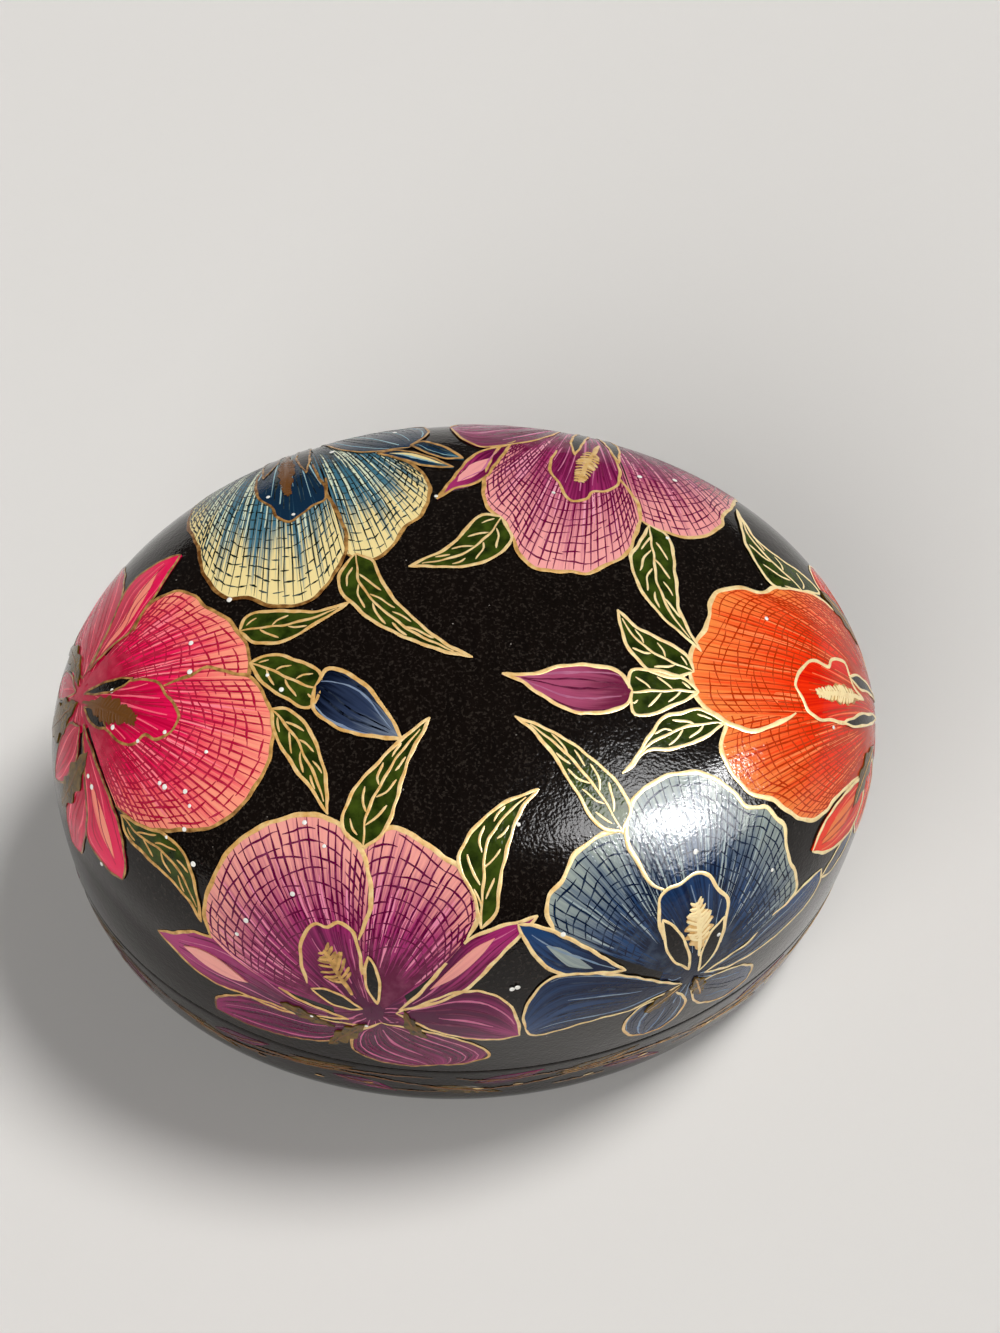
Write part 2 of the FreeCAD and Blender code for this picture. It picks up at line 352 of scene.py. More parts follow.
for label in ("narrow", "inside"):
    stored = add(oval_tree, "GeometryNodeInputNamedAttribute", {"Name": label})
    asked[label] = add(oval_tree, "GeometryNodeSampleIndex",
                       {"Geometry": section, "Value": stored, "Index": row})
place = add(oval_tree, "GeometryNodeInputPosition")
place = add(oval_tree, "GeometryNodeSampleIndex", {"Geometry": section, "Value": place, "Index": row},
            data_type="FLOAT_VECTOR")
radius, _, height = add(oval_tree, "ShaderNodeSeparateXYZ", {0: place}).outputs
across = {}
for wave in ("COSINE", "SINE"):
    factor = add(oval_tree, "ShaderNodeMath", {0: angle}, operation=wave)
    across[wave] = add(oval_tree, "ShaderNodeMath", {0: radius, 1: factor}, operation="MULTIPLY")
deep = add(oval_tree, "ShaderNodeMath", {0: across["SINE"], 1: asked["narrow"]}, operation="MULTIPLY")
turned = add(oval_tree, "ShaderNodeCombineXYZ", {0: across["COSINE"], 1: deep, 2: height})
marked = add(oval_tree, "GeometryNodeStoreNamedAttribute",
             {0: grid, "Name": "inside", "Value": asked["inside"]})
bent = add(oval_tree, "GeometryNodeSetPosition", {0: marked, "Position": turned})
closed = add(oval_tree, "GeometryNodeMergeByDistance", {0: bent, "Distance": WELD})
smooth = add(oval_tree, "GeometryNodeSetShadeSmooth", {0: closed})
real = add(oval_tree, "GeometryNodeRealizeInstances", {0: smooth})
outside = add(oval_tree, "GeometryNodeSetMaterial", {0: real, "Material": given["Finish"]})
is_inside = add(oval_tree, "GeometryNodeInputNamedAttribute", {"Name": "inside"})
both = add(oval_tree, "GeometryNodeSetMaterial",
           {0: outside, "Selection": is_inside, "Material": given["Inside"]})
add(oval_tree, "NodeGroupOutput", {0: both})
print("lathe tree:", len(oval_tree.nodes), "nodes")

# %% [markdown]
# The sections
#
# A section runs from the axis over the outside, round the rim and back along the inside. Its
# numbers are the box's own: walls of 2.8 and 3.2 mm, a rim eased by half a millimetre, and a
# collar of 1.2 mm that stands 5.5 mm above the seam with 0.3 mm to slip in. Each section could
# be listed point by point. Arcs and insets keep lid, base and collar true to one another.

# %% Arcs and insets
LID_WALL, BASE_WALL, RIM, MOUTH_EASE = 2.8, 3.2, 0.5, 0.4
TAPE_STEP, FOOT_STEP, RIM_STEP, STRIP_STEP = 0.9, 0.6, 0.12, 0.1
QUARTER = math.pi / 2


def bow(centre_r, centre_z, radius, first, last, step=TAPE_STEP):
    count = max(3, math.ceil(abs(last - first) * radius / step) + 1)
    angles = np.linspace(first, last, count)
    return [(centre_r + radius * math.cos(a), centre_z + radius * math.sin(a)) for a in angles]


def side_at(height, inset):
    # radius of the side's arc at a height, and the arc's angle there
    dip = -math.asin((WIDEST - height) / (SIDE - inset))
    return HALF_LENGTH - SIDE + (SIDE - inset) * math.cos(dip), dip


def inset_ratio(inset):
    return (2 * HALF_LENGTH * NARROW - 2 * inset) / (2 * HALF_LENGTH - 2 * inset)


def section_object(name, *runs):
    # a run is its points, how far it is narrowed, and 1 where it belongs to the inside
    points = [(r, z, ratio, inside) for line, ratio, inside in runs for r, z in line]
    mesh = bpy.data.meshes.new(name)
    mesh.from_pydata([(max(r, 0) * MM, 0, z * MM) for r, z, ratio, inside in points], [], [])
    mark(mesh, "narrow", [p[2] for p in points])
    mark(mesh, "inside", [p[3] for p in points])
    return new_object(name, mesh)


print("narrowing outside %.2f, inside the lid %.3f" % (NARROW, inset_ratio(LID_WALL)))


# %% The lid's section
def dome_line(inset, last):
    tape = np.append(np.arange(0, last, TAPE_STEP), last)
    r, z, out_r, out_z = profile(tape)
    return list(zip(r - inset * out_r, z - inset * out_z))


rim_r, rim_dip = side_at(SEAM + RIM, RIM)
mouth_r, _ = side_at(SEAM, LID_WALL)
_, eased_dip = side_at(SEAM + MOUTH_EASE, LID_WALL)
lid_outer = dome_line(0, WIDEST_AT - rim_dip * SIDE)
lid_outer += bow(rim_r, SEAM + RIM, RIM, rim_dip, -QUARTER, RIM_STEP)[1:]
lid_inner = [(mouth_r + MOUTH_EASE, SEAM)] + dome_line(LID_WALL, WIDEST_AT - eased_dip * SIDE)[::-1]
lid_section = section_object(
    "lid_section", (lid_outer, NARROW, 0), (lid_inner, inset_ratio(LID_WALL), 1))
print("radius of the lid's mouth %.2f mm" % mouth_r)

# %% The collar's section
SLIP, STRIP, COLLAR_FOOT, COLLAR_TOP, EASE = 0.3, 1.2, 9.2, 20.7, 0.35

collar_r = mouth_r - SLIP
collar_narrow = (mouth_r * inset_ratio(LID_WALL) - SLIP) / collar_r
strip_r = collar_r - STRIP
strip_narrow = (collar_r * collar_narrow - STRIP) / strip_r
collar_outer = [(collar_r, COLLAR_FOOT), (collar_r, COLLAR_TOP - EASE)]
collar_outer += bow(collar_r - EASE, COLLAR_TOP - EASE, EASE, 0, QUARTER, STRIP_STEP)[1:]
collar_inner = bow(strip_r + EASE, COLLAR_TOP - EASE, EASE, QUARTER, math.pi, STRIP_STEP)
collar_inner += [(strip_r, COLLAR_FOOT)]
collar_section = section_object(
    "collar_section", (collar_outer, collar_narrow, 1), (collar_inner, strip_narrow, 1),
    (collar_outer[:1], collar_narrow, 1))
print("radius of the collar %.2f mm" % collar_r)

# %% The base's section
FOOT, SANDED, GLUE = 8, 0.2, 0.1


def foot_line(inset, floor_height, lowest):
    # the foot's arc from its lowest angle up to where it meets the side
    foot = FOOT - inset
    centre_z = floor_height + foot
    dip = -math.asin((WIDEST - centre_z) / (SIDE - inset - foot))
    centre_r = HALF_LENGTH - SIDE + (SIDE - inset - foot) * math.cos(dip)
    return bow(centre_r, centre_z, foot, lowest, dip, FOOT_STEP), dip


seat_r = collar_r + GLUE
seat_narrow = (collar_r * collar_narrow + GLUE) / seat_r
seat = [(seat_r, SEAM), (seat_r, COLLAR_FOOT)]
foot_outer, foot_dip = foot_line(0, -SANDED, -math.asin((FOOT - SANDED) / FOOT))
foot_inner, inner_dip = foot_line(BASE_WALL, BASE_WALL, -QUARTER)
top_r, top_dip = side_at(SEAM - RIM, RIM)
_, shelf_dip = side_at(COLLAR_FOOT, BASE_WALL)
base_outer = [(0, 0)] + foot_outer + bow(HALF_LENGTH - SIDE, WIDEST, SIDE, foot_dip, top_dip)[1:]
base_outer += bow(top_r, SEAM - RIM, RIM, top_dip, QUARTER, RIM_STEP)[1:]
base_inner = bow(HALF_LENGTH - SIDE, WIDEST, SIDE - BASE_WALL, shelf_dip, inner_dip)
base_inner += foot_inner[::-1][1:] + [(0, BASE_WALL)]
base_section = section_object(
    "base_section", (base_outer, NARROW, 0), (seat, seat_narrow, 1),
    (base_inner, inset_ratio(BASE_WALL), 1))
print("radius of the collar's seat %.2f mm" % seat_r)

# %% [markdown]
# The varnish
#
# The whole outside is under one clear varnish, so every paint here ends in the same coat: a
# gloss layer that swells a little, peels like an orange about a millimetre across, and has a
# finer grain that breaks up the highlight. Each paint could carry a varnish of its own. One
# function for the last step keeps the coat alike, and the pattern reads Object coordinates, so
# it runs on without a break from the ground onto the petals.

# %% Start a paint, and varnish it
# width and height of each unevenness of the coat
SWELL, PEEL, GRAIN = (9 * MM, 0.07 * MM), (1.3 * MM, 0.03 * MM), (0.36 * MM, 0.036 * MM)
COAT_ROUGHNESS, COAT_IOR, BARE_SPECULAR = 0.12, 1.36, 0.4
PAINT_ROUGHNESS = 0.45


def start_paint(name):
    paint = bpy.data.materials.new(name)
    paint.use_nodes = True
    paint.node_tree.nodes.clear()
    return paint, paint.node_tree, add(paint.node_tree, "ShaderNodeTexCoord").outputs["Object"]


def end_paint(tree, place, ground, layers, relief=None, relief_height=0.0, coat=1.0, **shader):
    # ground is a colour, and each layer a share and the colour that covers that share of it;
    # the bumps of the coat are the varnish's own, the relief is the paint's
    colour = linear(ground)
    for share, over in layers:
        colour = add(tree, "ShaderNodeMix", {0: share, 6: colour, 7: linear(over)}, data_type="RGBA")
    wavy = {}
    for width, height in (SWELL, PEEL, GRAIN):
        rough = add(tree, "ShaderNodeTexNoise", {"Vector": place, "Scale": 1 / width, "Detail": 1.0})
        wavy = {"Normal": add(tree, "ShaderNodeBump", wavy | {
            "Height": rough, "Strength": 1.0, "Distance": height})}
    if relief:
        shader["Normal"] = add(tree, "ShaderNodeBump", {
            "Height": relief, "Strength": 1.0, "Distance": relief_height})
    surface = add(tree, "ShaderNodeBsdfPrincipled", {
        "Base Color": colour, "Specular IOR Level": 0.0 if coat else BARE_SPECULAR,
        "Coat Weight": coat, "Coat Roughness": COAT_ROUGHNESS, "Coat IOR": COAT_IOR,
        "Coat Normal": wavy["Normal"], **shader})
    add(tree, "ShaderNodeOutputMaterial", {"Surface": surface})


print("varnish: peel %.1f mm wide, %.3f mm high" % tuple(v / MM for v in PEEL))

# %% [markdown]
# The black ground
#
# The ground is lamp black paint, rubbed down and never quite even: a fine speckle, faint brush
# streaks, and a few specks of dust and tiny bubbles under the varnish. The pale speckle is
# partly the paint's own grain and partly painted reflection, the varnish's grain catching the
# room. A plain black would do from afar, but the dark middle of the lid is large, and close by
# it would look like plastic.

# %% Black lacquer
STREAK, SHEEN_SPECKLE, SPECK_GAP = 1.1 * MM, 0.36 * MM, 2.2 * MM
SPECK_SIZE, SHEEN_SPECKLE_SHARE, SPECK_SHARE, SPECK_TONE = 0.045, 0.75, 0.55, 0.55

black_lacquer, tree, place = start_paint("lamp_black_lacquer_varnished")
# The eye sees deep black with a brown warmth: a fine speckle, partly painted reflection of the
# varnish's grain, faint streaks, pinpricks of dust
stretched = add(tree, "ShaderNodeMapping", {0: place, 3: (1.0, 0.16, 0.5)})
streaks = add(tree, "ShaderNodeTexNoise", {"Vector": stretched, "Scale": 1 / STREAK, "Detail": 4.0})
# pale speckle: partly the paint's grain, partly painted reflection of the varnish's grain
sheen_speckle = add(tree, "ShaderNodeTexNoise", {"Vector": place, "Scale": 1 / SHEEN_SPECKLE, "Detail": 3.0})
sheen_speckle = add(tree, "ShaderNodeMapRange", {0: sheen_speckle, 1: 0.52, 2: 0.78, 4: SHEEN_SPECKLE_SHARE})
cells = add(tree, "ShaderNodeTexVoronoi", {"Vector": place, "Scale": 1 / SPECK_GAP})
near = add(tree, "ShaderNodeMath", {0: cells, 1: SPECK_SIZE}, operation="LESS_THAN")
lot = add(tree, "ShaderNodeSeparateColor", {0: cells.outputs["Color"]})
some = add(tree, "ShaderNodeMath", {0: lot, 1: SPECK_SHARE}, operation="GREATER_THAN")
dust = add(tree, "ShaderNodeMath", {0: near, 1: some}, operation="MULTIPLY")
dusty = add(tree, "ShaderNodeMath", {0: dust, 1: SPECK_TONE}, operation="MULTIPLY")
end_paint(tree, place, "#060302", ((streaks, "#140d09"), (sheen_speckle, "#3a332d"), (dusty, "#a39c94")),
          dust, 0.02 * MM, Roughness=0.42)
print("lacquer:", black_lacquer.name)

# %% [markdown]
# The black inside
#
# Inside, the box is only painted: matt black straight on the pasted paper, with no varnish. The
# same paint with its coat taken off would be too smooth, so this one is thin and mottled, and
# the fibres of the paper are felt through it.

# %% Black paint on paper
MOTTLE, FIBRE = 4 * MM, 0.5 * MM

black_inside, tree, place = start_paint("lamp_black_paint_on_pasted_paper")
# Matt black over pasted paper: soft mottling, and the paper's fibres felt as a fine relief
mottle = add(tree, "ShaderNodeTexNoise", {"Vector": place, "Scale": 1 / MOTTLE, "Detail": 5.0})
drawn_out = add(tree, "ShaderNodeMapping", {0: place, 3: (1.0, 1.0, 0.25)})
fibres = add(tree, "ShaderNodeTexNoise", {
    "Vector": drawn_out, "Scale": 1 / FIBRE, "Detail": 6.0, "Distortion": 0.6})
rough = add(tree, "ShaderNodeMapRange", {0: mottle, 3: 0.5, 4: 0.72})
end_paint(tree, place, "#100e0f", ((mottle, "#262222"),), fibres, 0.05 * MM, coat=0.0, Roughness=rough)
print("inside:", black_inside.name)

# %% [markdown]
# Lid, base and collar
#
# The three sections now go through the lathe tree, each with the paint of its outside and the
# matt black of its inside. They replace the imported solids, whose faceted surface would show in
# a gloss varnish, and have their shape.

# %% Grow the three shells
TURNS = 256
empty = bpy.data.meshes.new("nothing")
for name, profile_piece, outside_paint, body, slot, node in (
        ("lid_lacquered_shell", lid_section, black_lacquer, "lid", "black_lacquer", "lid_shell"),
        ("base_lacquered_shell", base_section, black_lacquer, "base", "black_lacquer", "base_shell"),
        ("collar_strip", collar_section, black_inside, "base", "black_inside", "collar")):
    mesh = grow(name, oval_tree, empty, {
        "Section": profile_piece, "Turns": TURNS, "Finish": outside_paint, "Inside": black_inside})
    bpy.data.objects.remove(profile_piece)
    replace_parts(finish_piece(name, mesh, body), node)

# %% [markdown]
# Drawing the ornament
#
# A flower here is painted in a fixed order: the big ribbed petals in flat colour, brushed from a
# dark heart to a pale rim, then the narrow side petals, the throat and the stamen, a net of fine
# lines over the pale rims, and last the gold outline. A picture mapped on the lid could show it,
# but it would have no edges of its own. So each petal is a real film of paint, a few hundredths
# of a millimetre thick, that lies on the form: a fan that opens from the flower's heart to a
# wavy rim, or a blade between two edges that meet at both ends.


# %% A smooth path through given points
def along_path(points, count=None, step=0.6):
    # evenly spaced points of a smooth line through the given ones
    knots = np.array(points, float)
    hops = np.sqrt(np.linalg.norm(np.diff(knots, axis=0), axis=1))
    pace = np.concatenate([[0], np.cumsum(hops)])
    slopes = np.gradient(knots, pace, axis=0)
    t = np.linspace(0, 1, 12, endpoint=False)[:, None]
    rest = 1 - t
    pieces = [rest * rest * (1 + 2 * t) * knots[i] + t * t * (3 - 2 * t) * knots[i + 1]
              + t * rest * (rest * slopes[i] - t * slopes[i + 1]) * hop for i, hop in enumerate(hops)]
    line = np.vstack(pieces + [knots[-1:]])
    run = np.concatenate([[0], np.cumsum(np.linalg.norm(np.diff(line, axis=0), axis=1))])
    count = count or max(4, round(run[-1] / step) + 1)
    marks = np.linspace(0, run[-1], count)
    return np.stack([np.interp(marks, run, line[:, k]) for k in (0, 1)], -1)


print("a path of three points:", along_path([(0, 0), (4, 3), (9, 3)], 4).round(1).tolist())

# %% Fans and blades, as grids of the flat drawing
FAN_ROWS, RIM_GAP, CALMING = 22, 0.8, 60
BLADE_COLUMNS, BLADE_GAP = 7, 0.8


def fan(heart, first_bend, last_bend, rim, rows=FAN_ROWS):
    # rows from the heart to the rim; each ray bends as much as its place between the two sides
    # asks, and the waves of the rim die away towards the heart
    heart = np.array(heart, float)
    edge = along_path(rim, step=RIM_GAP)
    calm = edge.copy()
    for _ in range(CALMING):
        calm[1:-1] = (calm[:-2] + 2 * calm[1:-1] + calm[2:]) / 4
    reach = calm - heart
    bearing = np.unwrap(np.arctan2(reach[:, 1], reach[:, 0]))
    length = np.linalg.norm(reach, axis=1)
    bends = []
    for bend, i in ((first_bend, 0), (last_bend, -1)):
        arm = np.array(bend, float) - heart
        swing = math.atan2(arm[1], arm[0]) - bearing[i]
        bends.append(((swing + math.pi) % math.tau - math.pi, np.linalg.norm(arm) / length[i]))
    share = np.linspace(0, 1, len(edge))
    swing, part = (bends[0][k] + (bends[1][k] - bends[0][k]) * share for k in (0, 1))
    bent = np.stack([np.cos(bearing + swing), np.sin(bearing + swing)], -1)
    middle = heart + bent * (length * part)[:, None]
    t = np.linspace(0, 1, rows)[:, None, None]
    return (1 - t) ** 2 * heart + 2 * t * (1 - t) * middle + t * t * calm + t ** 5 * (edge - calm)


def blade(base, tip, one, other, rows=None):
    rows = rows or max(8, round(np.linalg.norm(np.subtract(tip, base)) / BLADE_GAP))
    edges = [along_path([base, *side, tip], rows) for side in (one, other)]
    share = np.linspace(0, 1, BLADE_COLUMNS)[None, :, None]
    return edges[0][:, None] * (1 - share) + edges[1][:, None] * share


def on_blade(grid, along, across=0.5):
    # a point of a blade's grid, along from base to tip and across from edge to edge, 0 to 1
    row, column = along * (len(grid) - 1), across * (grid.shape[1] - 1)
    i, j = min(int(row), len(grid) - 2), min(int(column), grid.shape[1] - 2)
    a, b = row - i, column - j
    near = grid[i, j] * (1 - b) + grid[i, j + 1] * b
    far = grid[i + 1, j] * (1 - b) + grid[i + 1, j + 1] * b
    return near * (1 - a) + far * a


print("fan grid:", fan((0, 0), (-3, 5), (3, 5), [(-6, 9), (0, 11), (6, 9)]).shape)

# %% [markdown]
# Films of paint
#
# A film is a closed sheet: its top lies a little above the lacquer, its underside is sunk just
# below, and a narrow wall joins them, so it stays a real solid that can be exported. Films that
# overlap are lifted one above the next, as paint layers are. Each film carries a UV map for its
# material: U runs across it in millimetres, and V from the heart, 0, to the rim, 1. The films of
# a flower share one mesh, and each has its own stretch of U, a hundred wide.

# %% Points and faces of one film
FILM, SUNK, LAYER = 0.03, 0.05, 0.04
ATLAS, UNDER = 100.0, 10


def number_points(grid):
    # numbers the points of a grid; a row that has shrunk to one place is a single point
    rows, columns = grid.shape[:2]
    number, kept = np.zeros((rows, columns), int), []
    for i in range(rows):
        if np.ptp(grid[i], axis=0).max() < 1e-4:
            number[i] = len(kept)
            kept.append((i, columns // 2))
        else:
            number[i] = range(len(kept), len(kept) + columns)
            kept.extend((i, j) for j in range(columns))
    return number, kept


def film_faces(number, u, v, start, count):
    # top and underside face by face, then the wall along every edge that only one face has
    faces, uvs, border = [], [], {}
    for i, j in np.ndindex(len(v) - 1, len(u) - 1):
        loop = [(i, j), (i, j + 1), (i + 1, j + 1), (i + 1, j)]
        loop = [c for n, c in enumerate(loop) if number[c] != number[loop[n - 1]]]
        ring = [int(number[c]) for c in loop]
        marks = [(u[c[1]], v[c[0]]) for c in loop]
        faces.append([start + n for n in ring])
        uvs.extend(marks)
        faces.append([start + count + n for n in ring[::-1]])
        uvs.extend([(a, b - UNDER) for a, b in marks[::-1]])
        for n in range(len(ring)):
            pair = (ring[n - 1], ring[n])
            if pair[::-1] in border:
                del border[pair[::-1]]
            else:
                border[pair] = (marks[n - 1], marks[n])
    for (a, b), (mark_a, mark_b) in border.items():
        faces.append([start + b, start + a, start + count + a, start + count + b])
        uvs.extend([mark_b, mark_a, mark_a, mark_b])
    return faces, uvs


corner = np.array([[(0, 0), (0, 0), (0, 0)], [(-1, 2), (0, 2), (1, 2)]], float)
print("two rows of three, the first shrunk:", len(number_points(corner)[1]), "points")


# %% A mesh of films
def films(name, sheets, tints=None):
    # a sheet is (grid of the flat drawing, layer, first V, last V); sheet k starts at U = k * ATLAS
    corners, facing, faces, uvs, widths, tones = [], [], [], [], [], []
    for k, (grid, layer, v_first, v_last) in enumerate(sheets):
        along, across = grid[-1, 0] - grid[0, 0], grid[len(grid) // 2, -1] - grid[len(grid) // 2, 0]
        if across[0] * along[1] - across[1] * along[0] < 0:
            grid = grid[:, ::-1]
        rows, columns = grid.shape[:2]
        widest = grid[-1] if np.ptp(grid[-1], axis=0).max() > 0.01 else grid[rows // 2]
        widths.append(np.linalg.norm(np.diff(widest, axis=0), axis=1).sum())
        number, kept = number_points(grid)
        flat = np.array([grid[place] for place in kept])
        top, out = on_oval(flat, FILM + layer * LAYER)
        u = k * ATLAS + np.linspace(0, widths[-1], columns)
        v = np.linspace(v_first, v_last, rows)
        more_faces, more_uvs = film_faces(number, u, v, len(corners), len(kept))
        faces += more_faces
        uvs += more_uvs
        corners.extend([*top, *on_oval(flat, -SUNK)[0]])
        facing.extend([*out, *out])
        tones.extend([tints[k] if tints else 0] * 2 * len(kept))
    mesh = bpy.data.meshes.new(name)
    mesh.from_pydata([tuple(c * MM) for c in corners], [], faces)
    mesh.uv_layers.new(name="paint").data.foreach_set("uv", np.array(uvs, np.float32).ravel())
    mark(mesh, "facing", facing)
    if tints:
        mark(mesh, "tint", tones)
    mesh.polygons.foreach_set("use_smooth", [True] * len(faces))
    mesh.update()
    return mesh, widths


def finish_films(name, sheets, paint, body="lid", tints=None):
    mesh, widths = films(name, sheets, tints)
    mesh.materials.append(paint)
    return finish_piece(name, mesh, body), widths


print("film top %.2f mm above the lacquer, next layer %.3f mm higher" % (FILM, LAYER))

# %% [markdown]
# Brush strokes
#
# Gold outlines, veins and stamens are strokes of a fine brush: they start thin, swell with
# pressure and end in a point, and the thick paint stands up a little. Each is a line of points
# that knows which way is out of the box and how hard the brush presses. Curve objects with a
# bevel would be the shortest way, but they tilt as they bend. The stroke tree turns each line
# into a closed, flattened ribbon, eight-sided, that is told which way is out.

# %% The stroke tree
stroke_tree, given = new_tree("brush_strokes", [
    ("Width", "Float"), ("Height", "Float"), ("Finish", "Material")])
curve = add(stroke_tree, "GeometryNodeMeshToCurve", {0: given["Lines"]})
outward = add(stroke_tree, "GeometryNodeInputNamedAttribute", {"Name": "facing"},
              data_type="FLOAT_VECTOR")
pressure = add(stroke_tree, "GeometryNodeInputNamedAttribute", {"Name": "pressure"})
held = add(stroke_tree, "GeometryNodeSetCurveNormal", {0: curve, "Normal": outward}, mode="FREE")
ring = add(stroke_tree, "GeometryNodeCurvePrimitiveCircle", {"Resolution": 8, "Radius": 0.5})
flattened = add(stroke_tree, "ShaderNodeCombineXYZ", {0: given["Height"], 1: given["Width"], 2: 1.0})
nib = add(stroke_tree, "GeometryNodeTransform", {0: ring, "Scale": flattened})
ribbon = add(stroke_tree, "GeometryNodeCurveToMesh", {
    0: held, 1: nib, "Scale": pressure, "Fill Caps": True})
end_tree(stroke_tree, add(stroke_tree, "GeometryNodeSetShadeSmooth", {0: ribbon}), given["Finish"])

# %% One stroke, and a mesh of strokes
STROKE_STEP, TREMBLE, FIRST_TOUCH = 0.45, 0.05, 0.42
# painted light and shade in the gold's tint: brighter per mm to the right, browner low down
RIGHT_LIGHT_DRIFT, LOW_SHADE_DRIFT, LOW_FROM, LOW_SPAN = 0.010, 0.07, 65, 8


def stroke(line, layer, weight, tint, taper=0.25, step=STROKE_STEP):
    # taper is the share of the stroke over which the brush is set down and lifted; the hand
    # trembles a little; the gold is made brighter towards the right and browner low on the box,
    # which is painted light and painted shade
    path = along_path(line, step=step)
    across, deep = path.T
    shake = [np.sin(deep * 2.3 + across) + np.sin(across * 0.7 - deep * 1.1),
             np.sin(across * 2.1 - deep) + np.sin(deep * 0.8 + across * 0.9)]
    path = path + TREMBLE * np.stack(shake, -1)
    share = np.linspace(0, 1, len(path))
    ends = np.minimum(share, 1 - share) / max(taper, 1e-3)
    press = weight * (FIRST_TOUCH + (1 - FIRST_TOUCH) * np.clip(ends, 0, 1) ** 0.7)
    press = press * (1 + 0.14 * np.sin(across * 0.9 + deep * 1.3)
                     + 0.08 * np.sin(across * 3.1 - deep * 2.7))
    # painted shade: the gold darkens towards the seam, low on the box
    low = np.clip(np.hypot(across, deep / NARROW) - LOW_FROM, 0, LOW_SPAN)
    return path, layer, press, tint + RIGHT_LIGHT_DRIFT * across - LOW_SHADE_DRIFT * low


def line_mesh(name, lines):
    # a line is its points, in the mesh's own units, its pressures and its tints
    edges, start = [], 0
    for points, *_ in lines:
        edges.extend((start + i, start + i + 1) for i in range(len(points) - 1))
        start += len(points)
    points, press, tints = (np.concatenate(column) for column in zip(*lines))
    mesh = bpy.data.meshes.new(name)
    mesh.from_pydata(points.tolist(), edges, [])
    mark(mesh, "pressure", press)
    mark(mesh, "tint", tints)
    return mesh


def stroke_mesh(name, strokes):
    laid = [on_oval(path, FILM + layer * LAYER) for path, layer, press, tints in strokes]
    mesh = line_mesh(name, [(top * MM, press, tints)
                            for (top, out), (path, layer, press, tints) in zip(laid, strokes)])
    mark(mesh, "facing", np.concatenate([out for top, out in laid]))
    return mesh


print("the hand trembles by %.2f mm" % TREMBLE)


# %% Where a stroke is covered by a higher petal
def inside(points, outline):
    # for each point, whether it lies inside the closed outline
    x, y = points[:, :1], points[:, 1:]
    x0, y0 = outline.T
    x1, y1 = np.roll(x0, -1), np.roll(y0, -1)
    crossed = ((y0 > y) != (y1 > y)) & (x < (x1 - x0) * (y - y0) / (y1 - y0 + 1e-12) + x0)
    return crossed.sum(1) % 2 == 1


def uncovered(painted, covers):
    # the runs of a stroke that no higher petal covers
    path, layer, press, tint = painted
    bare = np.ones(len(path), bool)
    for level, outline in covers:
        if level > layer:
            bare &= ~inside(path, outline)
    runs = np.split(np.arange(len(path)), np.flatnonzero(np.diff(bare.astype(int))) + 1)
    return [(path[r], layer, press[r], tint[r]) for r in runs if bare[r[0]] and len(r) > 2]


square = np.array([(0, 0), (2, 0), (2, 2), (0, 2)])
print("inside a square, and outside it:", inside(np.array([(1, 1), (3, 1)]), square).tolist())

# %% [markdown]
# Hair lines laid on a petal
#
# Each big petal is drawn over with a fine brush: dark rays that press hard near the heart and
# thin out to the rim, pale strokes between them, and rings of short strokes that cross the rays
# about a millimetre apart, so that the rim looks netted. All follow the petal, so they are drawn
# as straight lines in its own UV space. The tree shakes them as a hand would, lays them on the
# film by sampling its surface, and gives them a flat hair-thin body. Dark lines lie a little
# above pale ones, so that two that cross don't fight for the same place.

# %% The hair line tree: shake the lines, and find their places on the petal
# how fast the shaking changes, and how far it goes: across in mm, then along as a share of V
PACE, SHAKE = (0.35, 5.0, 1.0), (0.5, 0.012, 0.0)
hair_tree, given = new_tree("hair_lines", [
    ("Petals", "Object"), ("Thickness", "Float"), ("Height", "Float"), ("Lift", "Float"),
    ("Seed", "Float"), ("Finish", "Material")])
film = add(hair_tree, "GeometryNodeObjectInfo", {"Object": given["Petals"]}).outputs["Geometry"]
curve = add(hair_tree, "GeometryNodeMeshToCurve", {0: given["Lines"]})
flat_place = add(hair_tree, "GeometryNodeInputPosition")
shift = add(hair_tree, "ShaderNodeCombineXYZ", {2: given["Seed"]})
coarse = flat_place
for operation, by in (("MULTIPLY", PACE), ("ADD", shift)):
    coarse = add(hair_tree, "ShaderNodeVectorMath", {0: coarse, 1: by}, operation=operation)
wanted = add(hair_tree, "ShaderNodeTexNoise", {"Vector": coarse, "Scale": 1.6, "Detail": 1.0})
wanted = wanted.outputs["Color"]
for operation, by in (("SUBTRACT", (0.5, 0.5, 0.5)), ("MULTIPLY", SHAKE), ("ADD", flat_place)):
    wanted = add(hair_tree, "ShaderNodeVectorMath", {0: wanted, 1: by}, operation=operation)
uv_map, out = (add(hair_tree, "GeometryNodeInputNamedAttribute", {"Name": label},
                   data_type="FLOAT_VECTOR") for label in ("paint", "facing"))
place, facing = (add(hair_tree, "GeometryNodeSampleUVSurface",
                     {"Mesh": film, 1: value, 2: uv_map, "Sample UV": wanted},
                     data_type="FLOAT_VECTOR") for value in (flat_place, out))
print("hair line tree so far:", len(hair_tree.nodes), "nodes")

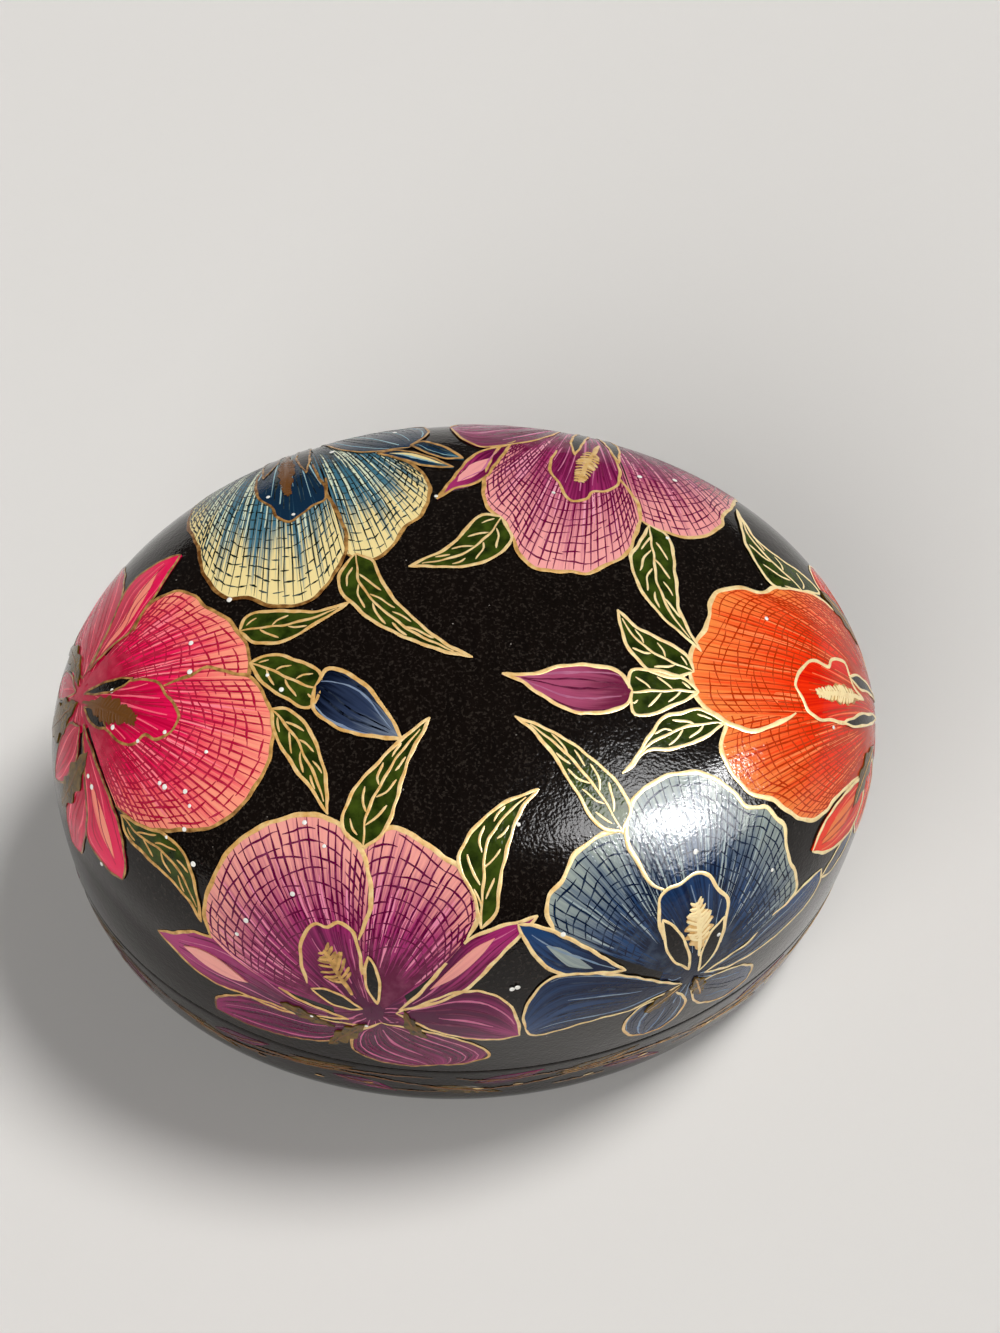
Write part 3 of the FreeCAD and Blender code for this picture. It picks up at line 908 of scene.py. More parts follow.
# %% The hair line tree: press, lift and lay the lines
pressed, tone = (add(hair_tree, "GeometryNodeInputNamedAttribute", {"Name": label})
                 for label in ("pressure", "tint"))
grip = add(hair_tree, "ShaderNodeTexNoise", {"Vector": coarse, "Scale": 4.0, "Detail": 2.0})
grip = add(hair_tree, "ShaderNodeMapRange", {0: grip, 1: 0.35, 2: 0.65, 3: 0.6, 4: 1.3})
press = add(hair_tree, "ShaderNodeMath", {0: grip, 1: pressed}, operation="MULTIPLY")
over = add(hair_tree, "ShaderNodeMath", {0: 2.0, 1: tone}, operation="SUBTRACT")
over = add(hair_tree, "ShaderNodeMath", {0: over, 1: given["Lift"]}, operation="MULTIPLY")
raised = add(hair_tree, "ShaderNodeVectorMath", {0: facing, "Scale": over}, operation="SCALE")
raised = add(hair_tree, "ShaderNodeVectorMath", {0: place, 1: raised}, operation="ADD")
line = add(hair_tree, "GeometryNodeStoreNamedAttribute", {0: curve, "Name": "pressure", "Value": press})
for label, value in (("facing", facing), ("laid", raised)):
    line = add(hair_tree, "GeometryNodeStoreNamedAttribute",
               {0: line, "Name": label, "Value": value}, data_type="FLOAT_VECTOR")
missed = add(hair_tree, "FunctionNodeBooleanMath", {0: place.outputs["Is Valid"]}, operation="NOT")
kept = add(hair_tree, "GeometryNodeDeleteGeometry", {0: line, "Selection": missed})
laid = add(hair_tree, "GeometryNodeInputNamedAttribute", {"Name": "laid"}, data_type="FLOAT_VECTOR")
draped = add(hair_tree, "GeometryNodeSetPosition", {0: kept, "Position": laid})
held = add(hair_tree, "GeometryNodeSetCurveNormal", {0: draped, "Normal": out}, mode="FREE")
hair = add(hair_tree, "GeometryNodeCurvePrimitiveQuadrilateral", {
    "Width": given["Height"], "Height": given["Thickness"]})
drawn = add(hair_tree, "GeometryNodeCurveToMesh", {
    0: held, 1: hair, "Scale": pressed, "Fill Caps": True})
end_tree(hair_tree, drawn, given["Finish"])

# %% [markdown]
# Which lines a petal gets
#
# A fan gets four sets in the painter's order: streaks from the heart, pale strokes half way out,
# rays to the rim, and the rings. A narrow petal or a throat gets a few long ribbons. They could
# be drawn by hand, line by line, but there are hundreds on each flower, and what the eye knows
# is their rhythm: gaps, lengths and weights. So these are numbers, and chance does the rest,
# always the same way, because each flower has its own seed.

# %% The lines of a fan
DARK, PALE = 0.0, 1.0
# gaps, and how far a line may stray from its place, in mm
STREAK_GAP, PALE_GAP, RING_STEP, RING_MARGIN, STRAY = 0.62, 0.9, 0.6, 0.6, 0.2
# where lines begin and end along V, and how long the pale ones are
STREAK_START, STREAK_ENDS = 0.1, (0.36, 0.78)
PALE_STARTS, PALE_RUNS, PALE_LAST = (0.34, 0.68), (0.16, 0.34), 0.97
RAY_STARTS, RAY_END, RING_FIRST, RING_LAST, RING_TILT = (0.34, 0.56), 0.992, 0.985, 0.42, 0.07
STREAK_POINTS, PALE_POINTS, RAY_POINTS = 20, 14, 24


def hair_line(u, v, weight, tint, taper):
    share = np.linspace(0, 1, len(v))
    ends = np.clip(np.minimum(share, 1 - share) / taper, 0, 1)
    return u + 0 * v, v, weight * (0.35 + 0.65 * ends), tint


def fan_lines(left, right, reach, net, random):
    # net: gap between rays and between rings, shortest and longest ring stroke, then the weights
    # of rays, rings and heart streaks
    ray_gap, ring_gap, shortest, longest, ray_weight, ring_weight, streak = net
    lines = []
    for u in np.arange(left, right, STREAK_GAP):
        v = np.linspace(STREAK_START, random.uniform(*STREAK_ENDS), STREAK_POINTS)
        fading = streak * np.linspace(1, 0.08, STREAK_POINTS) ** 0.8
        lines.append((u + random.uniform(-STRAY, STRAY) + 0 * v, v, fading, DARK))
    for u in random.uniform(left, right, round((right - left) / PALE_GAP)):
        first = random.uniform(*PALE_STARTS)
        v = np.linspace(first, min(first + random.uniform(*PALE_RUNS), PALE_LAST), PALE_POINTS)
        lines.append(hair_line(u, v, 1.2, PALE, 0.5))
    for u in np.arange(left + ray_gap / 2, right, ray_gap):
        v = np.linspace(random.uniform(*RAY_STARTS), RAY_END, RAY_POINTS)
        lines.append(hair_line(u + random.uniform(-STRAY, STRAY), v, ray_weight, DARK, 0.15))
    for v in np.arange(RING_FIRST - RING_MARGIN / reach, RING_LAST, -ring_gap / reach):
        start = left + random.uniform(0, 1)
        while start < right - 1:
            end = min(start + random.uniform(shortest, longest), right)
            u = np.linspace(start, end, max(3, round((end - start) / RING_STEP)))
            tilt = random.uniform(-RING_TILT, RING_TILT) * (end - start) / reach
            ring = v + random.uniform(-STRAY, STRAY) / reach + np.linspace(-tilt, tilt, len(u))
            lines.append(hair_line(u, ring, ring_weight * v ** 0.5, DARK, 0.25))
            start = end + random.uniform(-0.3, 0.7)
    return lines


print("streaks %.2f mm apart at the rim" % STREAK_GAP)

# %% The lines of a narrow petal, and pieces made of lines
RIBBON_GAP, RIBBON_POINTS, BOW, SWAY, RIBBON_TINT = 0.9, 16, 0.55, 0.3, 0.7
HAIR_WIDTH, HAIR_HEIGHT, HAIR_LIFT = 0.23, 0.02, 0.010


def narrow_lines(left, right, first, last, random):
    # long ribbons of dark and pale along a throat or a narrow petal
    lines = []
    half_turn = np.linspace(0, math.pi, RIBBON_POINTS)
    for n, u in enumerate(np.linspace(left, right, max(3, round((right - left) / RIBBON_GAP)))):
        a, b = np.sort(random.uniform(first, last, 2))
        if b - a < 0.45 * (last - first):
            a, b = first, last
        v = np.linspace(a, b, RIBBON_POINTS)
        curved = random.uniform(-BOW, BOW) * np.sin(half_turn)
        curved = curved + random.uniform(-SWAY, SWAY) * np.cos(2 * half_turn)
        tint = RIBBON_TINT if n % 3 == 1 else DARK
        lines.append(hair_line(u + curved, v, random.uniform(0.8, 1.6), tint, 0.5))
    return lines


def finish_lines(name, petals, lines, seed, paint):
    flat = [(np.stack([u, v, np.zeros(len(u))], -1), press, [tint] * len(u))
            for u, v, press, tint in lines]
    mesh = grow(name, hair_tree, line_mesh("hair_lines", flat), {
        "Petals": petals, "Thickness": HAIR_WIDTH * MM, "Height": HAIR_HEIGHT * MM,
        "Lift": HAIR_LIFT * MM, "Seed": seed, "Finish": paint})
    finish_piece(name, mesh, "lid")


print("hair lines %.2f mm wide at full pressure" % HAIR_WIDTH)

# %% [markdown]
# The flowers
#
# The ornament is the traditional hibiscus of this craft. Its points are written on the flat
# drawing of the lid, in millimetres from the middle: X to the right and Y to the back. A
# formula could make a flower, but it would make six alike, and each of these is its own. Six
# flowers stand round the lid with their hearts near the edge and the dark ground in the middle.
# Each has two big fans, narrow side petals with a pale stripe, petals that hang down under the
# heart, a throat with a stamen, two black almonds beside it, and green sepals.
#
# A stamen: base, tip, width. A throat: how its first and last sides bend, points of its edge.
# A fan: layer, how its first and last sides bend, points of its gold edge, and how many of these
# at each end are past the petal's rim, where the gold runs on down a side.
# A blade: kind, layer, base, tip, points of one edge, points of the other.

# %% The violet flower in front
FLOWERS = {}
FLOWERS["violet_front"] = {
    "heart": (-17, -46.5),
    "stamen": ((-18.9, -43.4), (-21, -37.6), 4.4),
    "throat": ((-22.8, -45), (-16.3, -43.5), [(-24.6, -41.5), (-24.5, -38.8), (-23.4, -36), (-21.2, -34.6),
        (-20, -35.1), (-18.6, -34.8), (-17, -36.1), (-16.6, -38.5), (-16.9, -41)]),
    "fans": [
        (0, (-18, -40), (-8, -43), [(-14.6, -27.6), (-13, -26.2), (-11, -25.7), (-8.5, -27), (-5.5, -29.4),
         (-3, -31), (-1.8, -33.4), (-2, -35.6), (-3.6, -38)], 0, 0),
        (1, (-31, -43.5), (-17, -41.5), [(-36.4, -34), (-36, -31), (-33.5, -28), (-30, -25), (-25, -23.3),
         (-20.5, -23.1), (-17, -24.8), (-15, -27.5), (-14.2, -30.5), (-14.5, -33.5), (-16.4, -37)], 0, 2)],
    "blades": [
        ("petal", 0, (-20.8, -47.4), (-46.3, -31.7), [(-28, -43), (-31, -39.4), (-34, -36.2),
         (-36.5, -34.2), (-39.5, -33), (-43, -32.5)], [(-31, -45.5), (-36, -42.6), (-40.5, -40.5),
         (-43.3, -37.9), (-44.8, -35)]),
        ("petal", 0, (-13, -46.4), (5, -36), [(-9, -43.3), (-6.5, -40.8), (-4, -38.4), (-1, -37.3),
         (2, -36.6)], [(-7, -45.3), (-3, -43.3), (0, -40.5), (2.6, -38.2)]),
        ("under", 0, (-18.6, -48.8), (-46, -44.5), [(-28, -46.3), (-34, -43.4), (-39, -42.5),
         (-43.5, -42.8)], [(-26, -51.6), (-33, -50.8), (-40, -48.4), (-44, -46)]),
        ("under", 0, (-13.5, -46.8), (3.9, -52), [(-9, -45.4), (-4.5, -44.2), (-0.5, -44.9), (2.5, -47.5)],
         [(-9, -50), (-5, -51.6), (0, -52.6)]),
        ("under", 1, (-16, -48.2), (-9, -57.8), [(-21, -50.3), (-22.6, -53.4), (-19.6, -56.2),
         (-14, -57.7)], [(-9, -50.5), (-2.2, -53.8), (-0.4, -56), (-4, -57.6)]),
        ("sepal", 3, (-12.4, -46.3), (-9.8, -51.3), [(-11.3, -48), (-10.3, -50)], [(-12.8, -49),
         (-11.5, -50.8)]),
        ("sepal", 3, (-23.5, -48.6), (-30.5, -44), [(-26.3, -46), (-29, -44.2)], [(-27, -47.4),
         (-29.5, -45.5)]),
        ("sepal", 3, (-18.5, -48.3), (-26.5, -52), [(-21.5, -48.6), (-24.5, -50)], [(-20.5, -50.5),
         (-24, -52)]),
        ("almond", 3, (-18, -45.6), (-24.2, -42.1), [(-19.8, -43.8), (-22, -42.5)], [(-20.2, -45.4),
         (-22.7, -44.2)]),
        ("almond", 3, (-15.8, -45), (-15.7, -38.8), [(-16.5, -43), (-16.5, -40.8)], [(-14.9, -43),
         (-14.9, -40.5)]),
        ("stripe", 2, (-34, -40.6), (-42.3, -34.4), [(-37, -36.9), (-40, -35)], [(-37, -39.6),
         (-40, -37.4)]),
        ("stripe", 2, (-8.5, -43.6), (-0.2, -38.1), [(-5.5, -41.1), (-2.5, -39)], [(-5, -42.2),
         (-2, -40)])]}
print("blades:", len(FLOWERS["violet_front"]["blades"]))

# %% The blue flower in front
FLOWERS["blue_front"] = {
    "heart": (28.6, -43.8),
    "stamen": ((27.9, -40.6), (25, -34.4), 4.2),
    "throat": ((23, -41.3), (31.5, -42), [(21.3, -38.8), (20.2, -36.3), (19.8, -34.4), (20.6, -33.2),
        (22.4, -32.5), (24, -31.4), (26.2, -31.3), (27.5, -32.5), (29.6, -33.8), (30.4, -36), (30.9, -39)]),
    "fans": [
        (0, (17, -42.3), (22, -38.5), [(6.8, -37.6), (6, -35.6), (6.3, -33.8), (8, -32), (9, -29.8),
         (11, -28.4), (13.6, -27.2), (15.3, -27.4), (16.8, -30.5)], 0, 0),
        (1, (22, -39.5), (36.5, -40), [(20.3, -33.2), (18.4, -32.5), (16.8, -30.5), (15.4, -28),
         (15.5, -26), (16.3, -24), (18, -22.3), (21, -20.9), (24, -20.4), (26.3, -21), (28.5, -22.2),
         (30.6, -23.7), (32.2, -23.5), (33.4, -23.2), (35, -24.2), (36.7, -25), (37.6, -27), (39, -28.6),
         (41, -29.8), (42.6, -31.9), (41.8, -33.4), (39.5, -35.2)], 2, 1)],
    "blades": [
        ("petal", 2, (17, -42.5), (2.6, -36.6), [(12, -40), (8, -38.2), (4.8, -37)], [(10, -42.7),
         (7.5, -42.3), (5.2, -40.7), (3.5, -38.7)]),
        ("under", 2, (27.5, -44.9), (4.4, -50.6), [(21, -43.9), (16, -43), (11, -42.7), (7.2, -43),
         (4.9, -45), (3.9, -48)], [(24, -46.7), (20, -48.8), (15, -49.8), (9, -51.5), (5.8, -52)]),
        ("petal", 0, (31, -43.4), (47.8, -28.4), [(34.6, -40.8), (37.3, -39), (38.5, -36.5), (42, -33.4),
         (45, -30.4)], [(36, -42.6), (41, -40.4), (45.8, -36.8), (49.2, -32.8), (49.6, -30)]),
        ("under", 0, (49, -29.5), (54.8, -21.5), [(50.2, -26.5), (52.3, -23.2)], [(52, -28),
         (54.3, -24.5)]),
        ("under", 0, (30, -45.5), (46, -45), [(36, -43.3), (41, -42.6), (44.5, -43)], [(34, -48.5),
         (39, -49), (43.5, -47.5)]),
        ("under", 0, (27.5, -46.3), (27, -54.5), [(22, -48.8), (21.2, -52), (23.6, -54.2)], [(31.3, -48.3),
         (32, -51), (30, -53.6)]),
        ("sepal", 3, (29.5, -44), (33.5, -47), [(31.8, -44.3), (33.2, -45.6)], [(30, -45.6),
         (31.7, -46.8)]),
        ("sepal", 3, (27.6, -45), (23.5, -49.5), [(25.5, -45.8), (24, -47.5)], [(26.3, -48),
         (24.8, -49.5)]),
        ("almond", 3, (27.3, -42.6), (20.7, -36.4), [(25.4, -39.6), (23, -37.5)], [(24, -41.4),
         (21.7, -39.2)]),
        ("almond", 3, (29.2, -42.8), (30, -35.6), [(28.2, -40.5), (28.4, -38)], [(30.4, -41), (30.5, -38)]),
        ("stripe", 3, (12.4, -42.1), (6, -39.2), [(9.8, -40.5), (7.8, -39.5)], [(9.5, -41.9),
         (7.5, -40.6)])]}
print("blades:", len(FLOWERS["blue_front"]["blades"]))

# %% The orange flower on the right
FLOWERS["orange_right"] = {
    "heart": (60, -4),
    "stamen": ((51.5, -5.6), (41, -8.6), 2.6),
    "throat": ((55, -7.2), (56.5, -4.3), [(48.5, -10), (46, -10.9), (44, -11.1), (41.5, -11.7),
        (39.5, -11.2), (38.8, -9.8), (37.9, -8.3), (38.4, -6.8), (39.6, -5.3), (41.5, -4.2), (43.7, -4.3),
        (44.4, -3.1), (45.9, -2.4), (47.5, -2.4), (48, -3.8), (49, -5.1), (51.5, -5.3)]),
    "fans": [
        (0, (46, -8), (57, -10), [(26.8, -13.2), (28.2, -14.6), (27.3, -17), (28, -19.3), (29.7, -21.2),
         (31.5, -22.2), (34, -22.3), (36.5, -23.2), (39, -23.7), (42, -23.4), (44.3, -22), (45.7, -20.3),
         (48.5, -18), (51.5, -15.8)], 0, 0),
        (1, (55.5, 2.5), (47, -12.2), [(48.5, 6), (45.5, 6.5), (43, 6.6), (40, 6), (37, 5.2), (35, 3.8),
         (33, 4), (31, 3.8), (29, 2.7), (28, 1), (27.4, -1.2), (26.5, -3.2), (25.2, -5), (24.4, -7.5),
         (24.4, -10), (25.3, -12.3), (27, -13.6), (29.5, -14.8), (32, -14.9), (34, -14), (36, -13),
         (37.7, -11.8)], 0, 5)],
    "blades": [
        ("petal", 2, (54, -15), (43.2, -26.8), [(51.3, -16.3), (48.5, -18.6), (45.7, -21.4), (44, -24)],
         [(54.6, -18.5), (53.3, -22), (49.5, -25), (46, -26.6)]),
        ("under", 0, (57.5, -11), (57, -21.5), [(54.5, -14.5), (53.8, -18.5), (55, -21)], [(60.5, -13),
         (61.5, -17.5), (59.5, -20.5)]),
        ("under", 0, (57.5, 1.5), (49.2, 16.5), [(50, 5.5), (46.3, 8.3), (45.2, 10.5), (46.3, 14.2)],
         [(57, 7), (55, 12), (52, 15.8)]),
        ("under", 0, (61, 0.5), (62.5, 11), [(58.5, 4), (59, 8)], [(64.5, 2.5), (65.5, 7.5)]),
        ("sepal", 3, (56.6, -9.5), (51.3, -19.8), [(53.4, -12), (51.5, -16)], [(55.5, -13.5),
         (53.4, -17.5)]),
        ("sepal", 3, (53, 3.8), (45.3, 8.4), [(50, 4.6), (47, 6.4)], [(51, 7.5), (48, 8.6)]),
        ("almond", 3, (59.5, -1.5), (47.8, -4), [(54, -2.2), (50, -2.8)], [(54, -3.4), (50, -4.5)]),
        ("almond", 3, (58.5, -4.6), (45.8, -11), [(54, -6.4), (50, -8.3)], [(54, -7.8), (49, -10.2)]),
        ("stripe", 3, (51.3, -18), (45, -25.6), [(48.5, -20.4), (46.3, -23)], [(50.5, -21), (48, -24.4)])]}
print("blades:", len(FLOWERS["orange_right"]["blades"]))

# %% The cream flower at the back
FLOWERS["cream_back"] = {
    "heart": (-20.5, 43),
    "stamen": ((-20.9, 33), (-20.6, 20.4), 2.2),
    "throat": ((-23.5, 35), (-18.5, 35), [(-24.4, 27.5), (-24.6, 24), (-24.4, 21.8), (-23.4, 20),
        (-22.6, 18.7), (-22, 17), (-20.5, 15.6), (-19, 16.6), (-17.5, 17.9), (-16.2, 18.6), (-15.9, 20.3),
        (-16.7, 23), (-17.4, 26.5)]),
    "fans": [
        (0, (-16, 28), (-13, 33.5), [(-14.1, 9.2), (-13, 7.9), (-11, 7.5), (-9.4, 8.6), (-8, 10.5),
         (-7, 12.4), (-5.2, 13.7), (-4.1, 16), (-3.7, 19.5), (-4.6, 22.5), (-6.5, 25), (-9, 26.6)], 0, 0),
        (1, (-29.5, 37), (-17.5, 33), [(-33.5, 27), (-33.6, 22), (-33, 18.5), (-31.8, 15), (-31.4, 11.5),
         (-30, 7.5), (-28, 5.3), (-25.7, 4.8), (-23.8, 3.3), (-21.5, 2.5), (-18.8, 2.7), (-16.8, 4.4),
         (-15.2, 7), (-14.1, 9.2), (-14, 12.5), (-14.6, 15.5), (-15.8, 19.5), (-15.9, 23)], 0, 4)],
    "blades": [
        ("under", 2, (-17.5, 42), (-5.5, 27.6), [(-16, 34), (-14, 29.5), (-10.5, 27.4)], [(-9, 40),
         (-3.5, 35.5), (-3, 31)]),
        ("petal", 2, (-9.6, 26.9), (-0.5, 22.5), [(-6.5, 27), (-3, 24.9)], [(-6.5, 24.9), (-4, 23.2)]),
        ("petal", 2, (-5.3, 28.2), (0.9, 24.2), [(-3.7, 28.7), (-1.2, 27)], [(-4, 26.6), (-1.5, 24.6)]),
        ("under", 0, (-23.5, 43.5), (-39, 36), [(-28, 39), (-33, 35.5), (-37, 35)], [(-28, 44), (-34, 42),
         (-38, 38.5)]),
        ("under", 0, (-20, 46), (-12, 53.5), [(-19, 50), (-15.5, 53.5)], [(-14.5, 46.5), (-11, 50)]),
        ("under", 0, (-22, 46), (-30, 51.5), [(-27, 45.5), (-30.5, 48.5)], [(-22, 50), (-26, 53)]),
        ("sepal", 3, (-20, 45.5), (-15, 50), [(-17.5, 46), (-15.5, 48)], [(-18, 48.3), (-16.2, 50)]),
        ("sepal", 3, (-22.5, 44.8), (-29, 47.5), [(-25, 44.5), (-28, 45.8)], [(-24.5, 46.6), (-27.5, 48)]),
        ("almond", 3, (-21.3, 40), (-23.6, 25.5), [(-21.9, 34), (-22.2, 29)], [(-23.2, 36), (-24, 30)]),
        ("almond", 3, (-19.7, 40), (-18.2, 24.5), [(-19.7, 34), (-19.3, 28)], [(-18.4, 36), (-17.8, 29)]),
        ("stripe", 3, (-8, 26.6), (-1.6, 23.2), [(-5.5, 26.2), (-3, 24.5)], [(-5.8, 25.6), (-3.4, 24)])]}
print("blades:", len(FLOWERS["cream_back"]["blades"]))

# %% The violet flower at the back
FLOWERS["violet_back"] = {
    "heart": (19.5, 43),
    "stamen": ((18.3, 28.5), (14.3, 19.4), 3),
    "throat": ((15, 32), (19.8, 35), [(12.6, 26), (11.4, 23.5), (11.2, 21), (12, 19), (12.2, 17),
        (13.3, 15.8), (15, 16.3), (16, 17.8), (17.5, 18), (19, 19), (19.7, 21), (19.9, 24), (19.6, 28)]),
    "fans": [
        (0, (20.5, 29), (32, 34), [(21, 13.4), (22, 12.4), (24, 11.6), (26.6, 11), (28.5, 11.6),
         (30.3, 12.8), (31.8, 14.4), (32.3, 16.3), (34, 18.5), (35.5, 21.5), (37.3, 24.5), (37.5, 27.5)], 0,
         0),
        (1, (13, 32), (19.7, 32), [(7.8, 28.3), (5.5, 26.5), (4, 23.5), (3.2, 20.5), (2.6, 17.5),
         (2.7, 15.5), (3.6, 13.3), (4.7, 11.8), (5.3, 9.5), (5.8, 7), (7.3, 5), (9.4, 4.4), (11.5, 4.3),
         (13.6, 4.1), (15.4, 5.2), (17.6, 6.5), (19, 8), (20, 10.5), (21, 13.2), (21.3, 15.5), (20.6, 18),
         (19.6, 21)], 0, 3)],
    "blades": [
        ("under", 2, (15.5, 42), (0, 33.5), [(14, 33), (11, 29.1), (7, 27.3), (3.4, 26.8), (1.2, 29)],
         [(9, 41), (3, 38.5)]),
        ("petal", 2, (7, 27.2), (-2.9, 16.5), [(3, 25.6), (0.5, 22.5), (-1, 19.8)], [(4.5, 22.6),
         (3.5, 20.6), (1, 18.7), (-0.8, 18.2)]),
        ("under", 0, (22, 43), (37, 35.5), [(27, 38.5), (32.5, 34.5)], [(28, 42.8), (34, 40)]),
        ("under", 0, (19, 46), (11, 53.5), [(14, 46), (10.5, 50)], [(18, 50), (14.5, 53.5)]),
        ("under", 0, (21, 45.5), (29.5, 50.5), [(21.5, 49.5), (25.5, 52)], [(26, 45), (29.5, 47.8)]),
        ("sepal", 3, (19.5, 45.5), (15, 50), [(17.2, 46), (15.3, 48)], [(17.8, 48.5), (16, 50)]),
        ("sepal", 3, (21.5, 45), (28, 47), [(24, 44.6), (27, 45.6)], [(23.5, 46.7), (26.5, 47.7)]),
        ("almond", 3, (19.3, 38), (14.6, 25), [(16.4, 33), (14.8, 28.5)], [(18, 33), (16.3, 28.5)]),
        ("almond", 3, (20.2, 38), (20.1, 24), [(19.6, 33), (19.5, 28)], [(21, 33), (20.9, 28)]),
        ("stripe", 3, (4.2, 24.2), (-0.3, 19.5), [(2, 23.2), (0.3, 21.4)], [(3.4, 22.4), (1.6, 20.3)])]}
print("blades:", len(FLOWERS["violet_back"]["blades"]))

# %% The pink flower on the left
FLOWERS["pink_left"] = {
    "heart": (-49.3, 0.2),
    "stamen": ((-48.6, -1.6), (-40.2, -7.8), 3.2),
    "throat": ((-46, -0.6), (-47.5, -4), [(-43.5, -1), (-40.5, -2.4), (-38.3, -3.2), (-36.8, -4.3),
        (-36.2, -5.8), (-35.2, -7.3), (-34.7, -9), (-35.5, -10.3), (-36.7, -10.9), (-37.8, -11),
        (-39.3, -9.9), (-40.6, -10.4), (-42.5, -9.8), (-43.9, -8.3), (-45.3, -6.8)]),
    "fans": [
        (0, (-44.5, 2.8), (-41.5, -3.4), [(-40.2, 4.6), (-38.3, 7.6), (-36, 8.4), (-34, 8.2), (-32.3, 6.8),
         (-31, 5), (-29.3, 3.3), (-28, 1.8), (-26.8, -0.5), (-26, -2.8), (-26, -4.5), (-26.6, -6.5),
         (-32, -6.5)], 0, 1),
        (1, (-41.5, -3), (-47.3, -8.5), [(-36.3, -4.6), (-33.5, -4.2), (-31.2, -3.6), (-29.5, -4.3),
         (-27.8, -5.2), (-26.4, -5.7), (-25, -7.5), (-24.1, -10), (-23.7, -12.5), (-24, -14.5),
         (-24.8, -17), (-26.3, -19), (-28, -20.8), (-30.5, -22), (-33.5, -22.4), (-36, -21.8),
         (-38.5, -21.2), (-41, -20.3), (-43.5, -18.5), (-45.3, -16.3)], 5, 0)],
    "blades": [
        ("petal", 2, (-47.5, 2.4), (-33.9, 14.3), [(-44.9, 5.5), (-43.3, 8.5), (-42, 12), (-40.5, 13.6),
         (-37.5, 14.5), (-35.2, 14.7)], [(-43.8, 3.7), (-40.8, 4.6), (-39, 6.8), (-37.2, 8.9),
         (-35.8, 11.2)]),
        ("under", 0, (-49, 2), (-46.8, 23), [(-52, 7), (-53.6, 12), (-52.5, 18), (-49.5, 22)],
         [(-45.5, 5.5), (-43.3, 9), (-42.5, 13), (-43.3, 18), (-44.8, 21.5)]),
        ("petal", 2, (-48.9, -4.6), (-48.4, -24.4), [(-49.9, -10), (-51.3, -15), (-53.3, -17.6),
         (-52, -20.6), (-50.3, -23)], [(-47.7, -9), (-46.6, -13), (-45.6, -18.2), (-46, -21.6),
         (-47, -23.7)]),
        ("under", 1, (-50.5, 1), (-56.5, 7.5), [(-51.5, 4), (-54.5, 7.5)], [(-53.5, 2), (-56.5, 4.5)]),
        ("under", 2, (-49.8, -4.5), (-59.5, -6.5), [(-52, -2.8), (-56, -3.6)], [(-51.5, -8.3),
         (-56, -8.8)]),
        ("under", 1, (-49.4, -10.2), (-60.5, -15.5), [(-53, -10.5), (-58, -12)], [(-50.5, -14.6),
         (-53.8, -17), (-58, -18)]),
        ("sepal", 3, (-49.8, 1.5), (-54.2, 12), [(-51.5, 5), (-53.6, 9)], [(-49.4, 5), (-51.5, 10)]),
        ("sepal", 3, (-50, -0.8), (-59, 1), [(-53.5, 1.8), (-57, 2.4)], [(-54, -3), (-57.5, -2)]),
        ("sepal", 3, (-48.6, -8.4), (-59, -10.8), [(-51.5, -8), (-56, -9)], [(-50.3, -10.6), (-52.5, -12),
         (-56.5, -12)]),
        ("almond", 3, (-48.4, -0.6), (-40.2, -2.2), [(-45.2, -0.9), (-42.4, -1.4)], [(-45.4, -2.2),
         (-42.4, -2.8)]),
        ("almond", 3, (-48.6, -2.4), (-44.9, -6.9), [(-46.6, -3.4), (-45.3, -5)], [(-47.6, -4.6),
         (-46.4, -6.2)]),
        ("stripe", 3, (-45.3, 3.6), (-37, 12.9), [(-42.2, 6.6), (-39.6, 10.6)], [(-41.2, 5.8),
         (-38.4, 9.6)]),
        ("stripe", 3, (-49.1, -12), (-48.4, -21.8), [(-49.6, -15), (-49.4, -19)], [(-48.2, -15),
         (-47.9, -19)])]}
print("blades:", len(FLOWERS["pink_left"]["blades"]))

